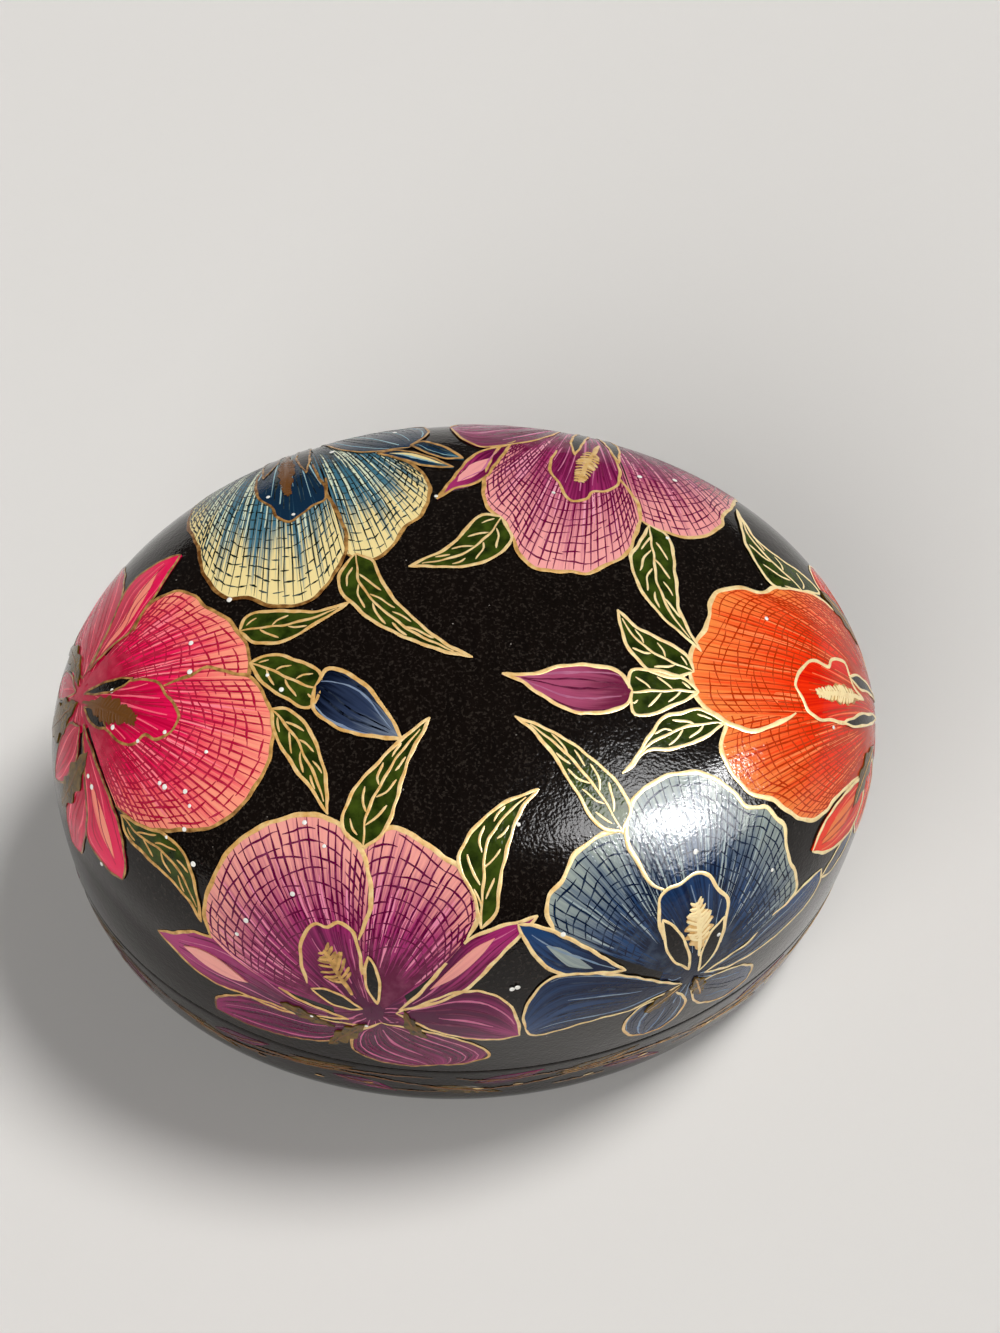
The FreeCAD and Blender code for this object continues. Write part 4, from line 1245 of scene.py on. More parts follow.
# %% The leaves and buds: base, tip, points of one edge, points of the other
LEAVES = [
    ((-13, 8.6), (-0.8, -6.9), [(-14.7, 6.6), (-15.2, 4.8), (-14.5, 2.5), (-11.5, -1.3), (-8.5, -3.6),
     (-4.5, -5.7)], [(-11, 7.2), (-10.5, 5), (-9.3, 2), (-7.8, -0.3), (-6, -2.6), (-3.6, -5)]),
    ((-26.9, 0.2), (-14.2, 1.7), [(-26.3, 1.8), (-24.8, 2.4), (-22, 1.9), (-18, 1.1)], [(-25.5, -1.6),
     (-22, -2.2), (-19, -1), (-16.5, 0.3)]),
    ((-26, -4.2), (-17.8, -9), [(-23.5, -3.7), (-20.5, -5), (-18.2, -6.6)], [(-24.6, -7), (-22, -9.5),
     (-19.4, -11)]),
    ((-23.9, -10.4), (-18.3, -23.4), [(-23.5, -13.6), (-22, -17), (-19.8, -20.6)], [(-21.8, -10.9),
     (-20, -13), (-18.7, -16.5), (-18.2, -20)]),
    ((-44.8, -17.6), (-37, -32), [(-44.6, -20), (-42, -23.5), (-39, -27.2), (-37.6, -29.6)], [(-41.5, -20),
     (-38.6, -21.6), (-36.9, -23.5), (-36, -26.5), (-36.3, -29.5)]),
    ((-14.6, -27.4), (-6, -13.9), [(-16.8, -25), (-16.2, -22.8), (-14.3, -20.2), (-11, -17.4), (-8, -15)],
     [(-12.2, -26), (-10.7, -23.4), (-9.6, -20.3), (-8.4, -17.5), (-6.9, -15.4)]),
    ((-1.9, -37), (5.6, -22.5), [(-2.3, -34), (-4, -30), (-3, -27.7), (-0.5, -25.1), (2.8, -23.4)],
     [(-0.2, -35.6), (0.7, -31.8), (1.9, -27.8), (3.8, -24.3)]),
    ((14.8, -27.2), (3.4, -14.2), [(12.3, -26.8), (10, -23.3), (8, -19.7), (5.8, -16.4)], [(15.9, -24.6),
     (14, -21.4), (11, -18.6), (7.2, -16)]),
    ((28, -14.4), (15.2, -20.9), [(25, -13), (22.8, -13.6), (20.7, -14.3), (18.5, -16.8), (16.7, -19.3)],
     [(25.3, -16.4), (22, -17.7), (18, -18.4), (16.5, -19.8)]),
    ((24.8, -8.4), (16.4, -0.9), [(24, -6.2), (21, -4.5), (18.3, -3)], [(22.5, -9.3), (19.5, -8.6),
     (17.6, -6.6), (16.7, -4)]),
    ((22, 12.4), (26, -5.7), [(20.3, 9), (19, 7), (19.1, 4), (20.4, 0.4), (22.9, -2.7)], [(24, 11),
     (24.3, 8.5), (24.1, 4), (23.9, 0), (24.7, -3)]),
    ((4.2, 12.8), (-7.1, 6), [(2.3, 13.4), (0.7, 12), (-0.8, 9.9), (-3.5, 7.6)], [(5.2, 9.5), (3.5, 7),
     (1, 5.7), (-2, 5.3), (-5, 5.7)]),
    ((41.5, 6.2), (34.9, 18.9), [(37, 5.3), (35.3, 8), (34.4, 11), (34.4, 14.8)], [(45, 7.6), (43, 9.2),
     (39, 10.7), (36.3, 12.7), (35.2, 15.6)]),
    ((25.2, -11), (16.8, -11.4), [(24, -9.8), (20.5, -8.6), (17.2, -8.9)], [(23, -12.2), (20, -13.7),
     (17.2, -14)]),
]
BUDS = [
    ("navy_bud", (-18.6, -8.6), (-9.3, -16), [(-17, -6.6), (-14.2, -8), (-11.4, -11.6)], [(-19, -11),
     (-16.8, -13.6), (-13.4, -15.2)]),
    ("violet_bud", (17.2, -11.2), (2.4, -9.2), [(15.8, -9.1), (12.5, -8.2), (8.8, -8.5), (5.6, -9.3)],
     [(16.2, -13), (13, -14), (9.5, -13.6), (6.2, -11.5), (4.2, -10)]),
]
print(len(LEAVES), "leaves,", len(BUDS), "buds")

# %% [markdown]
# Petal colour
#
# A petal is brushed from a dark heart to a pale rim in opaque poster-like colour, with strokes
# that run along the petal. Vertex colours could do it, but they blur. The paint reads the film's
# own UV map: V says how far out it is, and noise stretched along V gives the strokes, so they
# converge on the heart as the painter's do. Strokes are about a millimetre wide at the rim.

# %% Petal paint
# width of a stroke in mm, how often it changes along the petal, and how far it moves the colour
BROAD, FINE = (1.2, 1.6, 0.4), (0.35, 2.6, 0.6)


def petal_paint(name, heart, middle, rim, ramps):
    # The eye sees opaque colour: dark heart, pale rim, brush strokes along the petal
    paint, tree, place = start_paint(name)
    film_map = add(tree, "ShaderNodeUVMap", uv_map="paint")
    uneven = add(tree, "ShaderNodeSeparateXYZ", {0: film_map}).outputs[1]
    for width, change, push in (BROAD, FINE):
        stretched = add(tree, "ShaderNodeMapping", {0: film_map, 3: (1 / width, change, 1)})
        strokes = add(tree, "ShaderNodeTexNoise", {"Vector": stretched, "Scale": 1.0, "Detail": 3.0})
        uneven = add(tree, "ShaderNodeMath", {0: strokes, 1: push, 2: uneven}, operation="MULTIPLY_ADD")
    uneven = add(tree, "ShaderNodeMath", {0: uneven, 1: 0.5}, operation="SUBTRACT")
    shares = [add(tree, "ShaderNodeMapRange", {0: uneven, 1: first, 2: last},
                  interpolation_type="SMOOTHSTEP") for first, last in ramps]
    end_paint(tree, place, heart, zip(shares, (middle, rim)), strokes, 0.02 * MM,
              Roughness=PAINT_ROUGHNESS)
    return paint


print("broad strokes %.1f mm wide, fine ones %.2f mm" % (BROAD[0], FINE[0]))

# %% [markdown]
# Paint for the fine lines, and plain enamels
#
# The hair lines of one petal are dark, soft or pale, and they could be three pieces with three
# paints. One paint that reads each line's tint is simpler, and it can drift a little from one to
# the other, as colour on a brush does. Leaves, sepals and dots have one colour each, brushed thin
# in places.

# %% Line paint and flat enamel
PATCH = 1.4 * MM


def tinted_paint(name, dark, soft, pale):
    # The eye sees fine opaque brush lines, dark, soft and pale ones; the tint says which
    paint, tree, place = start_paint(name)
    tint = add(tree, "ShaderNodeAttribute", attribute_name="tint").outputs["Fac"]
    patch = add(tree, "ShaderNodeTexNoise", {"Vector": place, "Scale": 1 / PATCH, "Detail": 3.0})
    uneven = add(tree, "ShaderNodeMath", {0: patch, 1: 0.5, 2: tint}, operation="MULTIPLY_ADD")
    shares = [add(tree, "ShaderNodeMapRange", {0: uneven, 1: first, 2: last})
              for first, last in ((0.22, 0.85), (0.9, 1.2))]
    end_paint(tree, place, dark, zip(shares, (soft, pale)), Roughness=PAINT_ROUGHNESS)
    return paint


def flat_paint(name, dark, bright, grain):
    # The eye sees one colour, a little uneven where the brush ran thin
    paint, tree, place = start_paint(name)
    patch = add(tree, "ShaderNodeTexNoise", {"Vector": place, "Scale": 1 / grain, "Detail": 4.0})
    share = add(tree, "ShaderNodeMapRange", {0: patch, 1: 0.35, 2: 0.65})
    end_paint(tree, place, dark, ((share, bright),), patch, 0.015 * MM, Roughness=PAINT_ROUGHNESS)
    return paint


leaf_green = flat_paint("leaf_green_enamel", "#1a2604", "#3c4c12", 1.6 * MM)
sepal_olive = flat_paint("sepal_olive_enamel", "#3e2c08", "#705414", 1.0 * MM)
dot_white = flat_paint("white_dot_enamel", "#eeece4", "#fbf9f2", 0.6 * MM)
print("enamels:", leaf_green.name, sepal_olive.name, dot_white.name)

# %% The colours of each flower and bud
# heart, middle and rim; where the middle and the rim begin and end along V; dark, soft, pale lines
PETAL_COLOURS = {
    "violet_front": (("#500034", "#a62c6c", "#f2a296"), ((0.12, 0.48), (0.56, 1.00)),
                     ("#620838", "#c4608a", "#e88aa8")),
    "blue_front": (("#041636", "#20406c", "#9ea8a0"), ((0.12, 0.46), (0.54, 1.08)),
                   ("#0c1a34", "#7088a4", "#a2b0b2")),
    "orange_right": (("#de0c00", "#fa3408", "#fa8c44"), ((0.12, 0.46), (0.62, 1.08)),
                     ("#c03208", "#fc7444", "#ff8c50")),
    "cream_back": (("#0e2a42", "#44768a", "#f4de9c"), ((0.36, 0.58), (0.73, 0.92)),
                   ("#1c2219", "#84b0be", "#dde4c6")),
    "violet_back": (("#600438", "#aa306c", "#f6a6a2"), ((0.12, 0.48), (0.56, 0.98)),
                    ("#700c3c", "#c86894", "#f0a0b4")),
    "pink_left": (("#be0038", "#ee1656", "#fd9c80"), ((0.12, 0.46), (0.62, 1.06)),
                  ("#b01438", "#f86078", "#fc8490")),
    "navy_bud": (("#060e20", "#2a3650", "#7c8898"), ((0.1, 0.5), (0.5, 1.0)),
                 ("#040a18", "#7484a0", "#98a6b0")),
    "violet_bud": (("#6a1438", "#a44468", "#c87a96"), ((0.1, 0.5), (0.6, 1.1)),
                   ("#5a0c2e", "#a85c7e", "#c47c98"))}
petal_paints, line_paints = {}, {}
for flower, (colours, ramps, line_colours) in PETAL_COLOURS.items():
    petal_paints[flower] = petal_paint("petal_enamel_" + flower, *colours, ramps)
    line_paints[flower] = tinted_paint("line_enamel_" + flower, *line_colours)
print(len(petal_paints), "petal paints,", len(line_paints), "line paints")

# %% [markdown]
# Gold
#
# The gold is bronze powder in a binder, put on thick. Real metal would be the obvious choice, but
# it mirrors the room and goes dark where the room is dark. This paint is an ochre with only a
# little metal in it, and what makes it look gold is its changing tone: brown where it was mixed
# thin, cream where it stands thick. Its tint goes from flower to flower and along a stroke, and
# part of that is painted light: brighter on the right, towards the light, and browner, as painted
# shade, on the left and low on the box.

# %% Gold paint
GOLD_PATCH, GOLD_GRAIN, GOLD_METAL = 0.9 * MM, 0.12 * MM, 0.12

gold_paint, tree, place = start_paint("bronze_powder_gold_paint")
# The eye sees thick ochre-cream gold with a soft metal glint, browner where it was mixed thin
# and where its tint carries painted shade, brighter where it carries painted light
tint = add(tree, "ShaderNodeAttribute", attribute_name="tint").outputs["Fac"]
patch = add(tree, "ShaderNodeTexNoise", {"Vector": place, "Scale": 1 / GOLD_PATCH, "Detail": 4.0})
grains = add(tree, "ShaderNodeTexNoise", {"Vector": place, "Scale": 1 / GOLD_GRAIN, "Detail": 2.0})
uneven = add(tree, "ShaderNodeMath", {0: patch, 1: 1.1, 2: tint}, operation="MULTIPLY_ADD")
shares = [add(tree, "ShaderNodeMapRange", {0: uneven, 1: first, 2: last})
          for first, last in ((0.55, 1.05), (1.05, 1.75))]
end_paint(tree, place, "#70461e", zip(shares, ("#dcaa62", "#ffe8b0")), grains, 0.01 * MM,
          Roughness=0.42, Metallic=GOLD_METAL)
print("gold:", gold_paint.name)

# %% [markdown]
# Gold outlines and veins
#
# The gold outline follows every edge that no higher petal covers, and on leaves it runs on into
# a midrib with short side veins. Tracing the edges of the finished meshes would give lines all
# alike. Here an outline goes through the same points as the petal, but with a hand's tremble
# and pressure of its own, so it leaves the edge a little here and there, as the real one does.

# %% Outlines, midribs and veins
OUTLINE, VEIN, GOLD_HEIGHT, GOLD_FACET = 0.52, 0.31, 0.15, 20
MIDDLE = (0.05, 0.5, 0.95)


def outline(points, layer, tint, weight):
    return stroke(points, layer + 0.6, weight * OUTLINE, tint, taper=0.06)


def both_edges(base, tip, one, other, layer, tint, weight):
    return [outline([base, *side, tip], layer, tint, weight) for side in (one, other)]


def midrib(grid, layer, weight, tint, places=MIDDLE):
    return stroke([on_blade(grid, along) for along in places], layer, weight, tint)


def veins(grid, pairs, layer, tint):
    # a midrib, and side veins that bend towards the tip: two that start at the midrib, then a
    # short one that stands free of it
    made = [midrib(grid, layer, VEIN, tint, (0.0, 0.25, 0.5, 0.72, 0.9))]
    for n in range(pairs):
        for side, slip in ((-1, 0.0), (1, 0.4 / pairs)):
            t = 0.10 + slip + 0.72 * n / pairs
            room = np.linalg.norm(on_blade(grid, t + 0.1, 1) - on_blade(grid, t + 0.1, 0))
            if room > 1.9:
                places = [(t, 0.05), (t + 0.05, 0.19), (t + 0.15, 0.34)]
                if (n + (side > 0)) % 3 == 0:
                    places = [(t + 0.02, 0.17), (t + 0.07, 0.26), (t + 0.13, 0.33)]
                points = [on_blade(grid, along, 0.5 + side * across) for along, across in places]
                made.append(stroke(points, layer, VEIN * 0.8, tint + 0.1, taper=0.12, step=0.4))
    return made


def finish_gold(name, strokes, body="lid"):
    mesh = grow(name, stroke_tree, stroke_mesh("gold_lines", strokes),
                {"Width": 1.0 * MM, "Height": GOLD_HEIGHT * MM, "Finish": gold_paint})
    finish_piece(name, mesh, body, GOLD_FACET)


print("outline %.2f mm wide, veins %.2f mm" % (OUTLINE, VEIN))

# %% [markdown]
# Stamens and sepals
#
# The stamen is a small fern in gold: a stem with fat dabs of the brush on both sides. On the
# two violet flowers the dabs stand free. On the others the gold has run together, so a solid
# shape with a scalloped edge lies under the dabs. The sepals at the heart are blades with a
# toothed edge. All three are the plain shapes above with one rule added, so none is drawn anew.

# %% Fern strokes, solid stamens and toothed edges
DAB_GAP, DAB_WIDTH, STEM_WIDTH = 0.72, 0.38, 0.6
LOBES, STAMEN_ROWS, STAMEN_COLUMNS = 6.5, 44, 7
TEETH, SEPAL_ROWS = 4, 26


def fern_stamen(base, tip, width, layer, tint):
    # a stem with short fat dabs of paint on both sides, like a small fern
    base, tip = np.array(base, float), np.array(tip, float)
    stem = tip - base
    ahead = stem / np.linalg.norm(stem)
    sideways = np.array([-ahead[1], ahead[0]])
    pairs = round(np.linalg.norm(stem) / DAB_GAP)
    made = [stroke([base, base + stem * 0.55, tip], layer, STEM_WIDTH, tint, taper=0.2)]
    for n in range(pairs):
        t = 0.30 + 0.66 * n / (pairs - 1)
        swell = width / 2 * (1 - 0.62 * abs(t - 0.5) / 0.5)
        for side in (-1, 1):
            lean = 0.55 + 0.25 * math.sin(5.1 * n + side)
            start = base + stem * t
            end = start + side * sideways * swell * 0.92 + ahead * swell * lean
            dab = [start, (start + end) / 2 - ahead * 0.12, end]
            dab_tint = tint + 0.12 * math.sin(3.3 * n + side)
            made.append(stroke(dab, layer + 0.4, DAB_WIDTH, dab_tint, taper=0.1, step=0.35))
    return made


def scalloped(base, tip, width):
    # the grid of a solid stamen: a small tree with a scalloped edge on a short stalk
    base, tip = np.array(base, float), np.array(tip, float)
    stem = tip - base
    sideways = np.array([-stem[1], stem[0]]) / np.linalg.norm(stem)
    t = np.linspace(0, 1, STAMEN_ROWS)
    crown = np.clip((t - 0.12) / 0.3, 0, 1) ** 0.8 * np.clip((1 - t) / 0.35, 0, 1) ** 0.6
    half = width / 2 * (0.10 * (1 - t) + crown * (0.80 + 0.20 * np.cos(math.tau * LOBES * t)))
    across = np.linspace(-1, 1, STAMEN_COLUMNS)
    return base + stem * t[:, None, None] + sideways * (half[:, None] * across)[..., None]


def toothed(grid):
    middle = grid[:, grid.shape[1] // 2][:, None]
    teeth = 0.5 - 0.5 * np.cos(math.tau * TEETH * np.linspace(0, 1, len(grid)))
    return middle + (grid - middle) * (0.7 + 0.45 * teeth)[:, None, None]


print("stamen: a pair of dabs each %.2f mm, or %.1f lobes" % (DAB_GAP, LOBES))

# %% [markdown]
# Painting the flowers
#
# Each flower is built in the painter's order from its points: films of petal colour, the hair
# lines over them, then gold. The gold's tone differs from flower to flower, from brown gold on
# the left to bright cream gold on the right, and so do its weight and the net on the fans. The
# gold's own mix differs a little, and the rest of that tone is painted light: the flowers on
# the right, towards the light, get a brighter gold.

# %% How each flower differs
# tint and weight of its gold, tint of its stamen, and its net: gap between rays and between
# rings, shortest and longest ring stroke, in mm, then the weights of rays, rings and streaks
# the gold tints are partly painted light: higher on the right, where the light falls
HANDS_AND_LIGHT = {"violet_front": (0.86, 1.0, 0.55, (1.2, 1.2, 2.5, 8, 1.05, 1.05, 2.1)),
         "blue_front": (0.80, 1.0, 0.95, (1.15, 1.15, 1.5, 5, 0.9, 0.95, 1.9)),
         "orange_right": (0.68, 1.0, 0.75, (0.95, 0.95, 3, 9, 0.8, 0.8, 1.6)),
         "cream_back": (0.34, 0.84, -0.05, (1.1, 1.15, 0.8, 1.7, 0.7, 1.15, 0.9)),
         "violet_back": (0.46, 0.88, 0.5, (1.1, 1.1, 2, 6, 0.95, 0.95, 2.1)),
         "pink_left": (0.58, 0.80, 0.05, (1.1, 1.1, 1.8, 6, 1.05, 1.15, 1.8))}
FERN_STAMENS = ("violet_front", "violet_back")
FAN_LEVELS, BLADE_LEVELS, THROAT_LEVEL, TOP_LEVEL = (1.0, 2.5), (0.0, 0.7, 3.7), 3.7, 5.4
# first and last V of each narrow petal: how pale its base and its tip are
# the under petals stop darker: partly their own deeper colour, partly painted shade of the lid's low side
REACH_OF = {"petal": (0.0, 0.56), "under": (0.0, 0.38), "stripe": (0.9, 1.0)}
EDGE_WEIGHTS = {"petal": 0.85, "under": 0.7, "almond": 0.65}
print("gold tints:", {flower: hand[0] for flower, hand in HANDS_AND_LIGHT.items()})

# %% Films, lines and gold of one flower
HEART_PATCH, HEART_ROWS, HEART_REACH, THROAT_REACH = 5.5, 10, 0.26, 0.31
almonds, sepals, stamens, stamen_tints = [], [], [], []


def heart_and_fans(parts, tint, press):
    # films, their lines, their gold, and the outlines that cover lower gold
    heart = parts["heart"]
    turns = np.linspace(0, math.tau, 13)
    rim = [(heart[0] + HEART_PATCH * math.cos(a), heart[1] + HEART_PATCH * math.sin(a)) for a in turns]
    sheets = [(fan(heart, rim[0], rim[-1], rim, HEART_ROWS), -0.2, 0.0, HEART_REACH)]
    lines, painted, covers = [("narrow", 0.05, 0.25)], [], []
    for level, (layer, first_bend, last_bend, rim, before, after) in zip(FAN_LEVELS, parts["fans"]):
        grid = fan(heart, first_bend, last_bend, rim[before:len(rim) - after])
        sheets.append((grid, level, 0.0, 1.0))
        lines.append(("fan", np.linalg.norm(grid[-1] - heart, axis=1).mean()))
        covers.append((level, np.vstack([grid[:, 0], grid[-1], grid[::-1, -1]])))
        painted.append(outline(rim, level, tint, press))
    first_bend, last_bend, rim = parts["throat"]
    sheets.append((fan(heart, first_bend, last_bend, rim), THROAT_LEVEL, 0.0, THROAT_REACH))
    lines.append(("narrow", 0.07, 0.29))
    painted.append(outline(rim, THROAT_LEVEL, tint, 0.8 * press))
    return sheets, lines, painted, covers


def narrow_parts(parts, tint, press):
    # side petals, under petals and stripes; almonds and sepals are kept for pieces of their own
    sheets, lines, painted = [], [], []
    for kind, layer, base, tip, one, other in parts["blades"]:
        level = BLADE_LEVELS[min(layer, 2)]
        if kind == "almond":
            level = TOP_LEVEL
            almonds.append((blade(base, tip, one, other), level, 0.0, 1.0))
        elif kind == "sepal":
            sepals.append((toothed(blade(base, tip, one, other, SEPAL_ROWS)), TOP_LEVEL, 0.0, 1.0))
            painted.append(midrib(blade(base, tip, one, other), TOP_LEVEL + 0.4, 0.7 * VEIN, 0.0))
        else:
            first, last = REACH_OF[kind]
            above = 0.2 if kind == "stripe" else 0.0
            sheets.append((blade(base, tip, one, other), level + above, first, last))
            lines.append(None if kind == "stripe" else ("narrow", 0.10 * last, 0.86 * last))
        if kind in EDGE_WEIGHTS:
            weight = press * EDGE_WEIGHTS[kind]
            painted += both_edges(base, tip, one, other, level, tint, weight)
    return sheets, lines, painted


def stamen_parts(flower, stamen, tint):
    if flower in FERN_STAMENS:
        return fern_stamen(*stamen, TOP_LEVEL, tint)
    stamens.append((scalloped(*stamen), TOP_LEVEL + 1.2, 0.0, 1.0))
    stamen_tints.append(tint - 0.35)
    return fern_stamen(*stamen, TOP_LEVEL + 1.4, tint)


def line_runs(lines, widths, net, random):
    # the lines of every film, each in its own stretch of the UV map, a little inside the edge
    drawn = []
    for k, (line, width) in enumerate(zip(lines, widths)):
        left, right = k * ATLAS + 0.35, k * ATLAS + width - 0.35
        if line and line[0] == "fan":
            drawn += fan_lines(left, right, line[1], net, random)
        elif line:
            drawn += narrow_lines(left, right, line[1], line[2], random)
    return drawn


print("levels of the fans, in layers:", FAN_LEVELS)

# %% Paint the six flowers
for number, (flower, parts) in enumerate(FLOWERS.items()):
    tint, press, stamen_tint, net = HANDS_AND_LIGHT[flower]
    sheets, lines, painted, covers = heart_and_fans(parts, tint, press)
    more_sheets, more_lines, more_painted = narrow_parts(parts, tint, press)
    painted += more_painted + stamen_parts(flower, parts["stamen"], stamen_tint)
    petals, widths = finish_films(
        "petals_" + flower, sheets + more_sheets, petal_paints[flower])
    random = np.random.default_rng(11 + number)
    drawn = line_runs(lines + more_lines, widths, net, random)
    finish_lines("lines_" + flower, petals, drawn, number * 7.3, line_paints[flower])
    finish_gold("gold_" + flower, [run for line in painted for run in uncovered(line, covers)])

# %% Almonds, sepals and solid stamens
for name, sheets, paint, slot, tints in (
        ("throat_almonds", almonds, black_lacquer, "black_lacquer", None),
        ("sepals", sepals, sepal_olive, "leaf_paint", None),
        ("gold_stamens", stamens, gold_paint, "gold_paint", stamen_tints)):
    finish_films(name, sheets, paint, tints=tints)

# %% [markdown]
# Leaves and buds
#
# Leaves lie between the flowers and point into the dark middle. Each is a dark green blade with
# a gold edge, a gold midrib and side veins, long and short in turn. Two buds, navy and violet,
# lie on leaves. They are blades too, painted and lined as a narrow petal is, so nothing new is
# needed: only their places, their levels and the tone of their gold.

# %% Leaves, buds and their gold
LEAF_TINT, BUD_TINT, LEAF_LEVEL, BUD_LEVEL = 0.82, 0.76, 4.2, 5.4
LEAF_EDGE, BUD_EDGE, VEIN_GAP = 0.76, 0.85, 3.7
leaf_sheets, gold = [], []
for base, tip, one, other in LEAVES:
    grid = blade(base, tip, one, other)
    leaf_sheets.append((grid, LEAF_LEVEL, 0.0, 1.0))
    gold += both_edges(base, tip, one, other, LEAF_LEVEL, LEAF_TINT, LEAF_EDGE)
    pairs = max(3, round(np.linalg.norm(np.subtract(tip, base)) / VEIN_GAP))
    gold += veins(grid, pairs, LEAF_LEVEL + 0.5, LEAF_TINT)
finish_films("leaves", leaf_sheets, leaf_green)
for number, (kind, base, tip, one, other) in enumerate(BUDS):
    sheet = (blade(base, tip, one, other), BUD_LEVEL, 0.0, 0.9)
    bud, widths = finish_films(kind, [sheet], petal_paints[kind])
    drawn = narrow_lines(0.4, widths[0] - 0.4, 0.13, 0.78, np.random.default_rng(31 + number))
    finish_lines(kind + "_lines", bud, drawn, 50.0, line_paints[kind])
    gold += both_edges(base, tip, one, other, BUD_LEVEL, BUD_TINT, BUD_EDGE)
finish_gold("gold_leaves", gold)

# %% [markdown]
# Dots of white
#
# Small round dots of white are scattered over the flowers and the ground, like drops of dew.
# They could be strokes that are as long as wide. They are all alike but for size, so they are
# one low dome, put by a tree on every point and turned to face outward.

# %% The dot tree
dot_tree, given = new_tree("white_dots", [("Height", "Float"), ("Finish", "Material")])
points = add(dot_tree, "GeometryNodeMeshToPoints", {0: given["Lines"]})
outward = add(dot_tree, "GeometryNodeInputNamedAttribute", {"Name": "facing"},
              data_type="FLOAT_VECTOR")
turned = add(dot_tree, "FunctionNodeAlignRotationToVector", {"Vector": outward}, axis="Z")
breadth = add(dot_tree, "GeometryNodeInputNamedAttribute", {"Name": "pressure"})
spread = add(dot_tree, "ShaderNodeCombineXYZ", {0: breadth, 1: breadth, 2: given["Height"]})
ball = add(dot_tree, "GeometryNodeMeshUVSphere", {"Segments": 12, "Rings": 6, "Radius": 0.5})
drops = add(dot_tree, "GeometryNodeInstanceOnPoints", {
    "Points": points, "Instance": ball, "Rotation": turned, "Scale": spread})
end_tree(dot_tree, add(dot_tree, "GeometryNodeSetShadeSmooth", {0: drops}), given["Finish"])

# %% White dots
DOTS = [
    (-38.4, -22), (-35.7, -21.8), (-35.5, -25.7), (-21, -23.9), (-19, -26.7), (-23.5, -31.1), (-30.3, -33),
    (-32.2, -34.3), (3, -26.3), (2, -44.2), (2.7, -44), (-26.3, -46.4), (-18.4, -48.5), (-43.5, -2.6),
    (-43.8, -7.3), (-40.3, -10.3), (-36.6, -10.4), (-33.1, -3.7), (-32.8, 0.1), (-31.7, -14), (-38, -16),
    (-37.4, -16.6), (-34.8, -17.8), (-34.5, -19.5), (-49.3, -11.2), (-49, -12.7), (-52, -21.4), (-24, -6.2),
    (-22.5, -8.3), (-28, 5), (-23, 21), (-20, 16.8), (-7, 33), (-15, 29), (-3, 17), (11, 17.2), (22.3, 21.5),
    (27, 22), (24, 10.5), (36, -30), (24, -29), (30, -38), (44, -12), (35, 0), (8, -38)]
DOT, DOT_HEIGHT, DOT_LEVEL = 0.56, 0.14, 4.6
places, facing = on_oval(DOTS, FILM + DOT_LEVEL * LAYER)
dots = bpy.data.meshes.new("dots")
dots.from_pydata((places * MM).tolist(), [], [])
mark(dots, "facing", facing)
mark(dots, "pressure", [DOT * MM * (0.8 + 0.4 * math.sin(7.1 * i) ** 2) for i in range(len(DOTS))])
mesh = grow("white_dots", dot_tree, dots, {"Height": DOT_HEIGHT * MM, "Finish": dot_white})
finish_piece("white_dots", mesh, "lid")

# %% [markdown]
# The band round the base
#
# Below the seam the base carries a quieter border, half lost in the gloss: lean olive leaves, a
# few wine-coloured petals on a thin winding stem, loose strands of brown gold, and short pale
# dashes of gold that are painted glints. The petals are kept dark, partly for their colour and
# partly as painted shade. It goes all the way round, so drawing it point by point would be long
# work for little. It is drawn by formula: a place is a turn round the oval and a distance down
# the tape, and each sprig is the last one moved on. Sprigs lean up and down in turn.

# %% Places on the band, its stem and its sprigs
SPRIGS, STRANDS, BAND_TOP, BAND_FOOT = 18, 54, 76.6, 83.4
# both tints make up for the painted shade the gold gets low on the box; the pale glint tint is a painted
# glint
BAND_TINT, GLINT_TINT, BAND_LEVEL = 0.46, 1.26, 0.9


def round_band(turn, down):
    # a share of the way round and of the way down the band, as a point of the flat drawing
    tape = BAND_TOP + (BAND_FOOT - BAND_TOP) * down
    return tape * math.cos(math.tau * turn), tape * math.sin(math.tau * turn) * NARROW


def stem(turn):
    # how far down the winding stem runs there; it bends away from each leaf in turn
    return 0.5 - 0.2 * math.sin(math.pi * turn * SPRIGS)


def sprig(turn, length, flip, down):
    # one lean leaf or petal, as the base, tip and two edges of a blade
    shape = [[(0, 0.1)], [(0.25, 0.34), (0.6, 0.42)], [(0.35, 0.02), (0.7, 0.14)], [(1.0, 0.48)]]
    placed = [[round_band(turn + length * a, down + flip * d) for a, d in row] for row in shape]
    (base,), one, other, (tip,) = placed
    return base, tip, one, other


print("a sprig each %.0f degrees" % (360 / SPRIGS))

# %% Paint the border on the base
LEAF_LENGTH, PETAL_LENGTH, PETAL_SLIP = 0.030, 0.024, 0.020
RIB_WIDTH, STEM_LINE, STRAND_WIDTH, GLINT_WIDTH, GLINT_STEP = 0.3, 0.36, 0.28, 0.34, 0.002

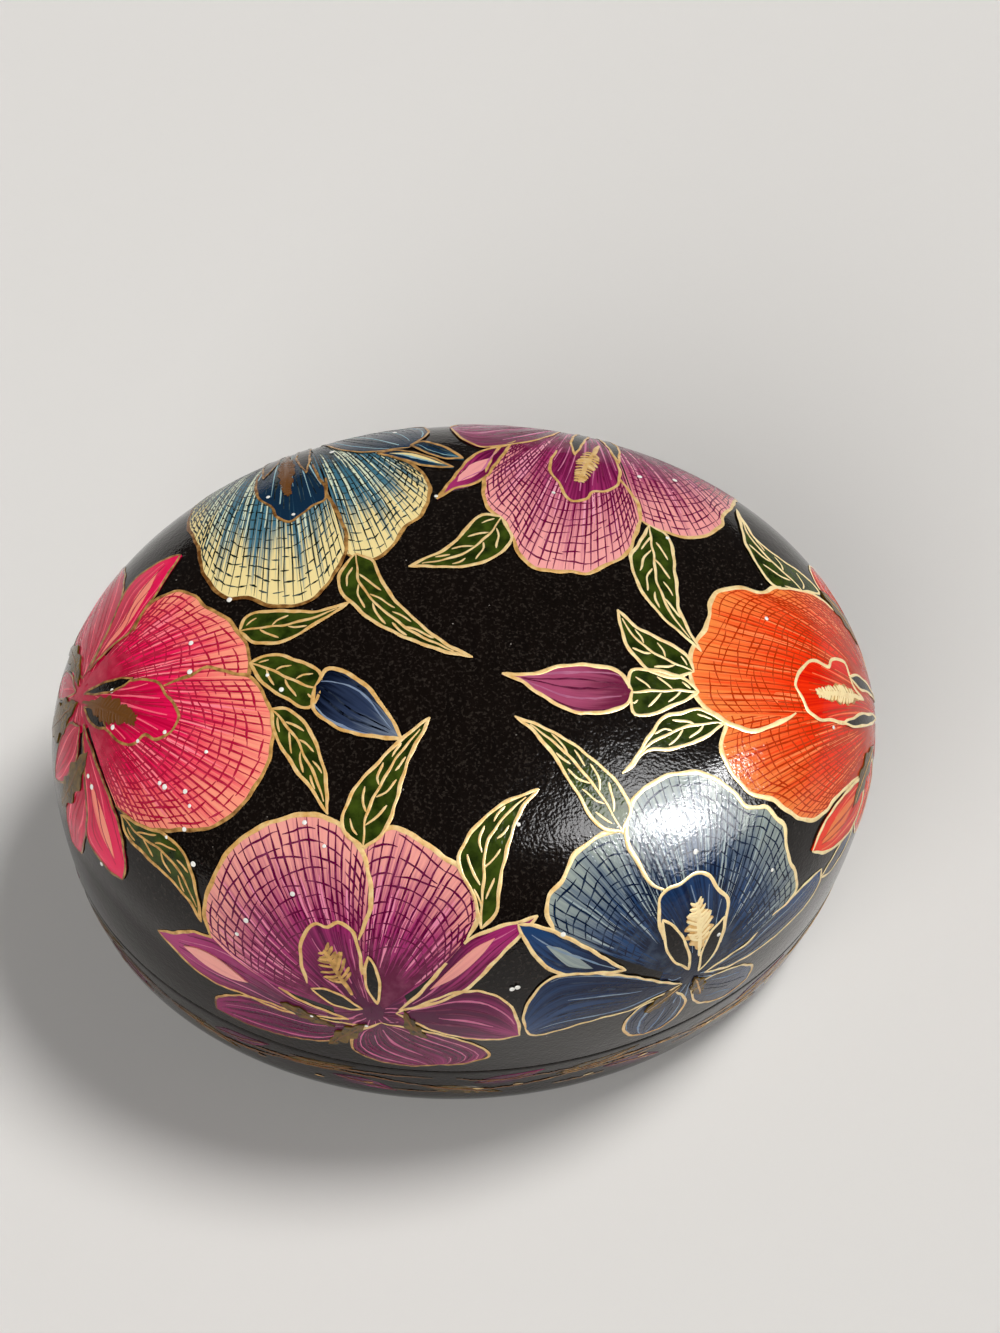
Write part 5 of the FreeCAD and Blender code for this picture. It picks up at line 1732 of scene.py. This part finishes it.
random = np.random.default_rng(5)
band_leaves, band_petals, gold = [], [], []
for n in range(SPRIGS):
    turn, flip = n / SPRIGS + random.uniform(-0.006, 0.006), 1 if n % 2 else -1
    for sheets, slip, length, side in ((band_leaves, 0.0, LEAF_LENGTH, flip),
                                       (band_petals, PETAL_SLIP, PETAL_LENGTH, -flip)):
        length, down = length * random.uniform(0.8, 1.2), random.uniform(0.45, 0.55)
        grid = blade(*sprig(turn + slip, length, side, down))
        # V stops at 0.3, so the petals stay dark: partly their wine colour, partly painted shade of the band
        sheets.append((grid, 0.3, 0.0, 0.3))
        gold.append(midrib(grid, BAND_LEVEL, RIB_WIDTH, BAND_TINT))
for n in range(SPRIGS):
    points = [round_band(turn, stem(turn)) for turn in np.linspace(n, n + 1.05, 7) / SPRIGS]
    gold.append(stroke(points, BAND_LEVEL, STEM_LINE, BAND_TINT, taper=0.12, step=0.8))
for strand in range(STRANDS):
    turn, down = (strand + random.uniform(0, 1)) / STRANDS, random.uniform(0.1, 0.9)
    length, rise = random.uniform(0.02, 0.045), random.uniform(-0.25, 0.25)
    points = [round_band(turn + length * t, np.clip(down + rise * t * (1.6 - t), 0.04, 0.96))
              for t in (0, 0.35, 0.7, 1)]
    gold.append(stroke(points, BAND_LEVEL, STRAND_WIDTH, BAND_TINT, taper=0.4, step=1.0))
# pale gold dashes low on the band: painted glints
for painted_glint in range(2 * SPRIGS):
    turn, down = (painted_glint + random.uniform(0.2, 0.8)) / (2 * SPRIGS), random.uniform(0.55, 0.95)
    points = [round_band(turn + GLINT_STEP * n, down) for n in range(3)]
    gold.append(stroke(points, BAND_LEVEL + 0.3, GLINT_WIDTH, GLINT_TINT, taper=0.4, step=0.4))
finish_films("band_leaves", band_leaves, sepal_olive, "base")
finish_films("band_petals", band_petals, petal_paints["violet_front"], "base")
finish_gold("gold_band", gold, "base")

# %% [markdown]
# Sizes, and the end
#
# The CAD box is printed once more. The visual model has to fill the CAD box and no
# more.

# %% Print the CAD box once more
print("CAD box, mm:   ", [round(v / MM, 3) for v in (*cad_low, *cad_high)])
